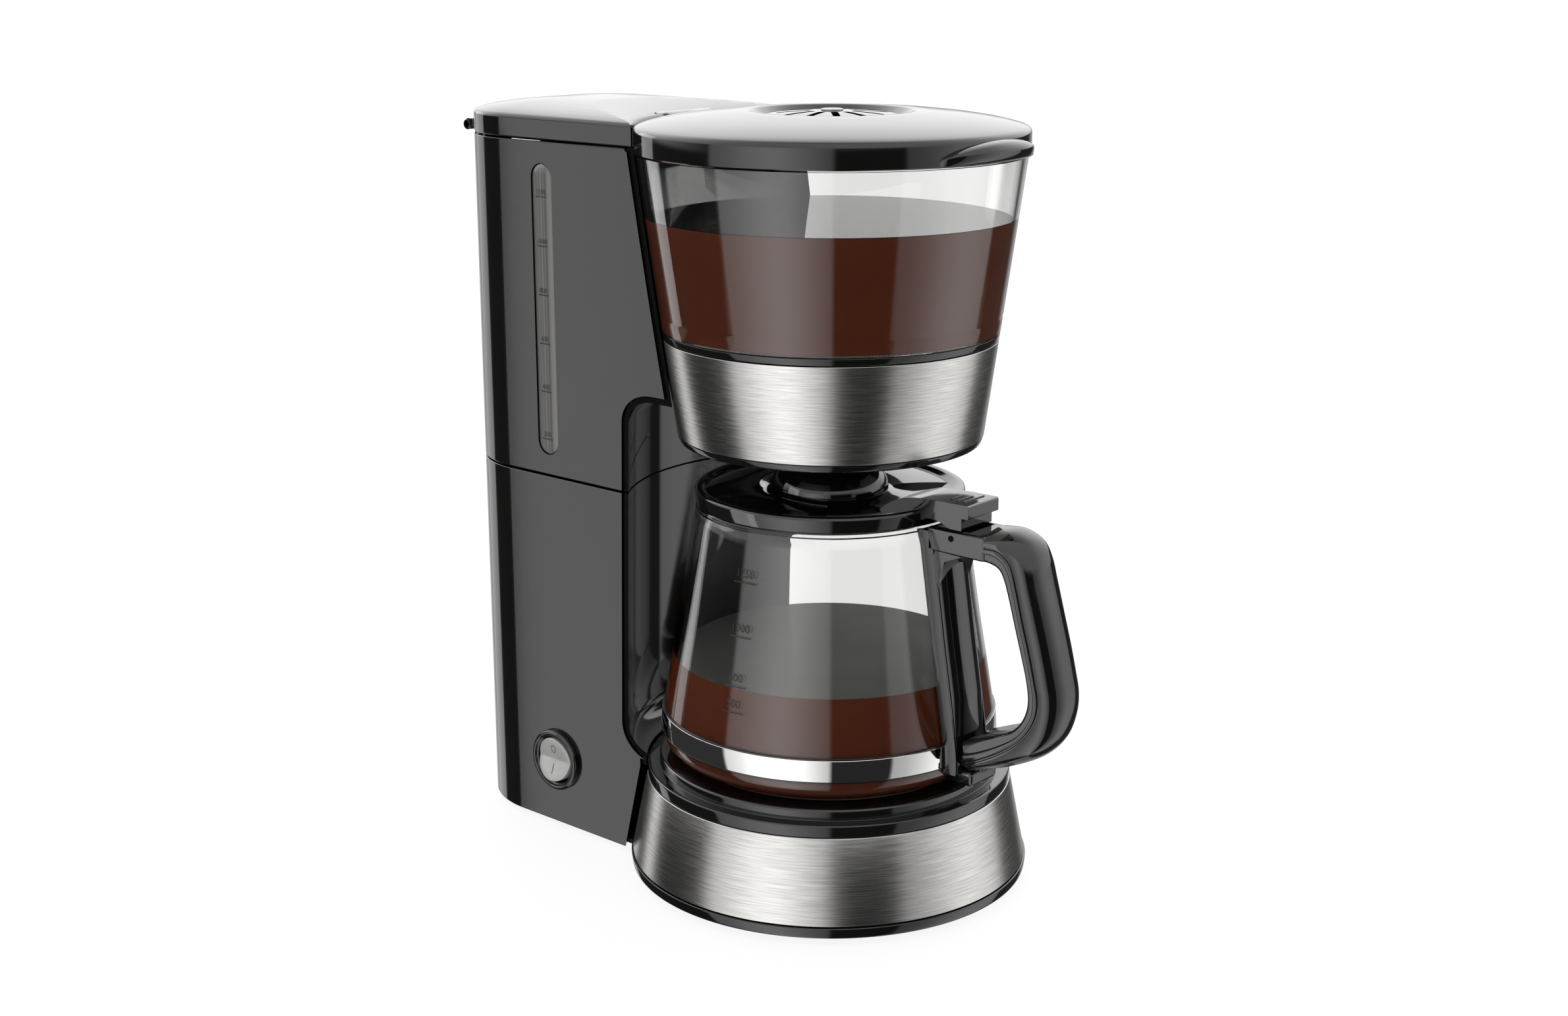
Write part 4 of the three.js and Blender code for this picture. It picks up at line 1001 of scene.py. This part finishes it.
# -------- carried-over CAD nodes
def dress_cad_nodes():
    """Procedural finishes for the CAD pieces that keep their own shape."""
    finishes = {
        "inner_plastic": MATTE, "pin_steel": PIN, "rubber": RUBBER, "aluminium": ALUMINIUM,
        "silicone": SILICONE, "filter_mesh": MESH, "body_gloss": GLOSS, "steel_band": STEEL,
        "chrome_band": CHROME, "clear_glass": GLASS, "gauge_clear": SMOKE, "switch_silver": SILVER,
        "plate_coat": PLATE,
    }
    slots = {s["node"]: s["material_slot"] for s in frame["record"]["subparts"]}
    for name, obj in frame["nodes"].items():
        obj.data.materials.clear()
        obj.data.materials.append(finishes[slots[name]])
        shade(obj, 28)


# -------- studio
def camera():
    data = bpy.data.cameras.new("view")
    data.sensor_width = 36
    data.lens = 49.49
    data.clip_start = 0.01
    made = bpy.data.objects.new("view", data)
    made.location = in_frame([camera_place])[0]
    made.rotation_euler = (math.radians(90) - camera_pitch, 0, -camera_heading)
    show(made)
    bpy.context.scene.camera = made


def grey_ramp(tree, source, stops):
    return ramp(tree, source, [(position, (value / STRENGTH,) * 3) for position, value in stops])


def mix(tree, factor, first, second):
    made = node(tree, "ShaderNodeMix", data_type="RGBA")
    colors = [socket for socket in made.inputs if socket.type == "RGBA"]
    for socket, value in zip((made.inputs["Factor"], *colors), (factor, first, second)):
        tree.links.new(value, socket)
    return [socket for socket in made.outputs if socket.type == "RGBA"][0]


def at(degrees):
    """Place on a ramp of an angle round the set, seen from above; 0 is the camera's side."""
    return (degrees + 180) / 360


def studio_colour(tree):
    """White room with tall soft boxes and black flags round the set, and a bright bank above and behind."""
    direction = node(tree, "ShaderNodeTexCoord").outputs["Generated"]
    forward = Vector((math.sin(camera_heading), math.cos(camera_heading), 0))
    right = Vector((forward.y, -forward.x, 0))
    sideways, nearness = [vector_maths(tree, "DOT_PRODUCT", direction, axis) for axis in (right, -forward)]
    turn = maths(tree, "ARCTAN2", sideways, nearness)
    share = maths(tree, "ADD", maths(tree, "DIVIDE", turn, 2 * math.pi), 0.5)
    around = grey_ramp(tree, share, [
        (at(-180), 0.75), (at(-152), 0.75), (at(-150), 0.03), (at(-75), 0.03), (at(-73.5), 0.75),
        (at(-61), 1.0), (at(-50), 1.35), (at(-38), 1.6), (at(-29), 1.55), (at(-19), 1.2), (at(-9), 0.85),
        (at(-0.5), 0.55), (at(0.5), 0.02), (at(40.5), 0.02), (at(41.5), 0.4), (at(52), 0.5), (at(64), 0.75),
        (at(76), 1.05), (at(89), 1.2), (at(104), 1.0), (at(116), 0.7), (at(118), 0.05), (at(150), 0.05),
        (at(160), 0.5), (at(180), 0.5)])
    backness = grey_ramp(tree, share, [
        (at(-180), STRENGTH), (at(-140), STRENGTH), (at(-70), 0.0), (at(70), 0.0), (at(140), STRENGTH),
        (at(180), STRENGTH)])
    upward = split(tree, direction)["Z"]
    behind = grey_ramp(tree, upward,
                       [(0.0, 1.35), (0.1, 1.45), (0.28, 1.8), (0.5, 2.1), (0.64, 1.9), (0.77, 1.4),
                                      (0.9, 0.85), (1.0, 0.6)])
    before = grey_ramp(tree, upward, [(0.0, 0.9), (1.0, 1.0)])

    def above(low, high):
        return remap(tree, upward, interpolation_type="SMOOTHSTEP", From_Min=low, From_Max=high)

    front = mix(tree, above(0.12, 0.30), around, before)
    back = mix(tree, above(0.0, 0.07), around, behind)
    return mix(tree, backness, front, back)


def studio_world():
    """The studio lights and reflections; straight ahead and straight through glass it is plain white."""
    world = bpy.data.worlds.new("studio")
    bpy.context.scene.world = world
    world.use_nodes = True
    tree = world.node_tree
    tree.nodes.clear()
    lit = node(tree, "ShaderNodeBackground", Strength=STRENGTH)
    tree.links.new(studio_colour(tree), lit.inputs["Color"])
    white = node(tree, "ShaderNodeBackground", Color=(1, 1, 1, 1))

    # Ray Depth counts one more here than on a surface, so below 1.5 means that nothing but glass was passed.
    paths = node(tree, "ShaderNodeLightPath").outputs
    bounces = maths(tree, "SUBTRACT", paths["Ray Depth"], paths["Transmission Depth"])
    straight = maths(tree, "MULTIPLY", maths(tree, "LESS_THAN", bounces, 1.5), paths["Is Transmission Ray"])
    chosen = node(tree, "ShaderNodeMixShader")
    tree.links.new(maths(tree, "MAXIMUM", straight, paths["Is Camera Ray"]), chosen.inputs["Fac"])
    tree.links.new(lit.outputs["Background"], chosen.inputs[1])
    tree.links.new(white.outputs["Background"], chosen.inputs[2])
    output = node(tree, "ShaderNodeOutputWorld")
    tree.links.new(chosen.outputs["Shader"], output.inputs["Surface"])


def card(name, start, heading, away, low, high, width, brightness, *lit):
    """An upright soft box, away mm from start along a heading, that lights only the listed pieces."""
    along = Vector((*heading, 0)).normalized()
    centre = Vector((*start, (low + high) / 2)) + along * away
    data = bpy.data.lights.new(name, "AREA")
    data.shape = "RECTANGLE"
    data.size, data.size_y = width * MM, (high - low) * MM
    data.energy = 4 * brightness * data.size * data.size_y
    made = bpy.data.objects.new(name, data)
    made.location = Vector(in_frame([centre])[0])
    made.rotation_euler = (-along).to_track_quat("-Z", "Y").to_euler()
    made.visible_camera = False
    show(made)
    lights = bpy.data.collections.new(name)
    for piece in lit:
        lights.objects.link(bpy.data.objects[piece])
    made.light_linking.receiver_collection = lights


def floor():
    """Pale floor, evenly lit, with only a soft contact shadow."""
    size = 8.0
    mesh = bpy.data.meshes.new("floor")
    corners = [(-size, -size, 0), (size, -size, 0), (size, size, 0), (-size, size, 0)]
    mesh.from_pydata(corners, [], [[0, 1, 2, 3]])
    mat, tree, shader = material("pale_floor", (0.1, 0.1, 0.1), 0.9, Emission_Strength=0.89,
                                 Emission_Color=(1, 1, 1, 1))
    shades = ramp(tree, noise(tree, 2.0), [(0.3, (0.10, 0.10, 0.10)), (0.7, (0.11, 0.11, 0.11))])
    tree.links.new(shades, shader.inputs["Base Color"])
    mesh.materials.append(mat)
    made = bpy.data.objects.new("floor", mesh)
    show(made)
    made.visible_glossy = False
    made.visible_transmission = False


camera()
studio_world()
floor()
dress_cad_nodes()
side_panels()
liners()
level_window()
tank_lid()
brew_lid()
vent_grille()
base()
brew_head()
switch()
carafe()
handle()
carafe_lid()
card("panel_card", (-44, 101), (-0.72, 0.69), 600, -330, 330, 136, 0.86,
     "lower_shell", "tank_shell", "tank_lid_cover", "switch_ring", "rocker_button")
card("handle_card", (-11, -90), (-0.74, 0.67), 600, -330, 330, 240, 1.3,
     "handle_strap", "grip_loop", "carafe_lid_cover")
card("streak_card", (-61, 20), (-0.052, 0.999), 900, -600, 600, 190, 0.8,
     "head_band", "head_ring", "base_band", "base_ring", "carafe_wall")
card("corner_card", (-60, 90), (0.087, 0.996), 850, -600, 600, 380, 0.82,
     "brew_lid_cover", "funnel_wall", "tank_shell", "lower_shell", "tank_lid_cover")
bpy.context.scene.view_settings.view_transform = "Standard"
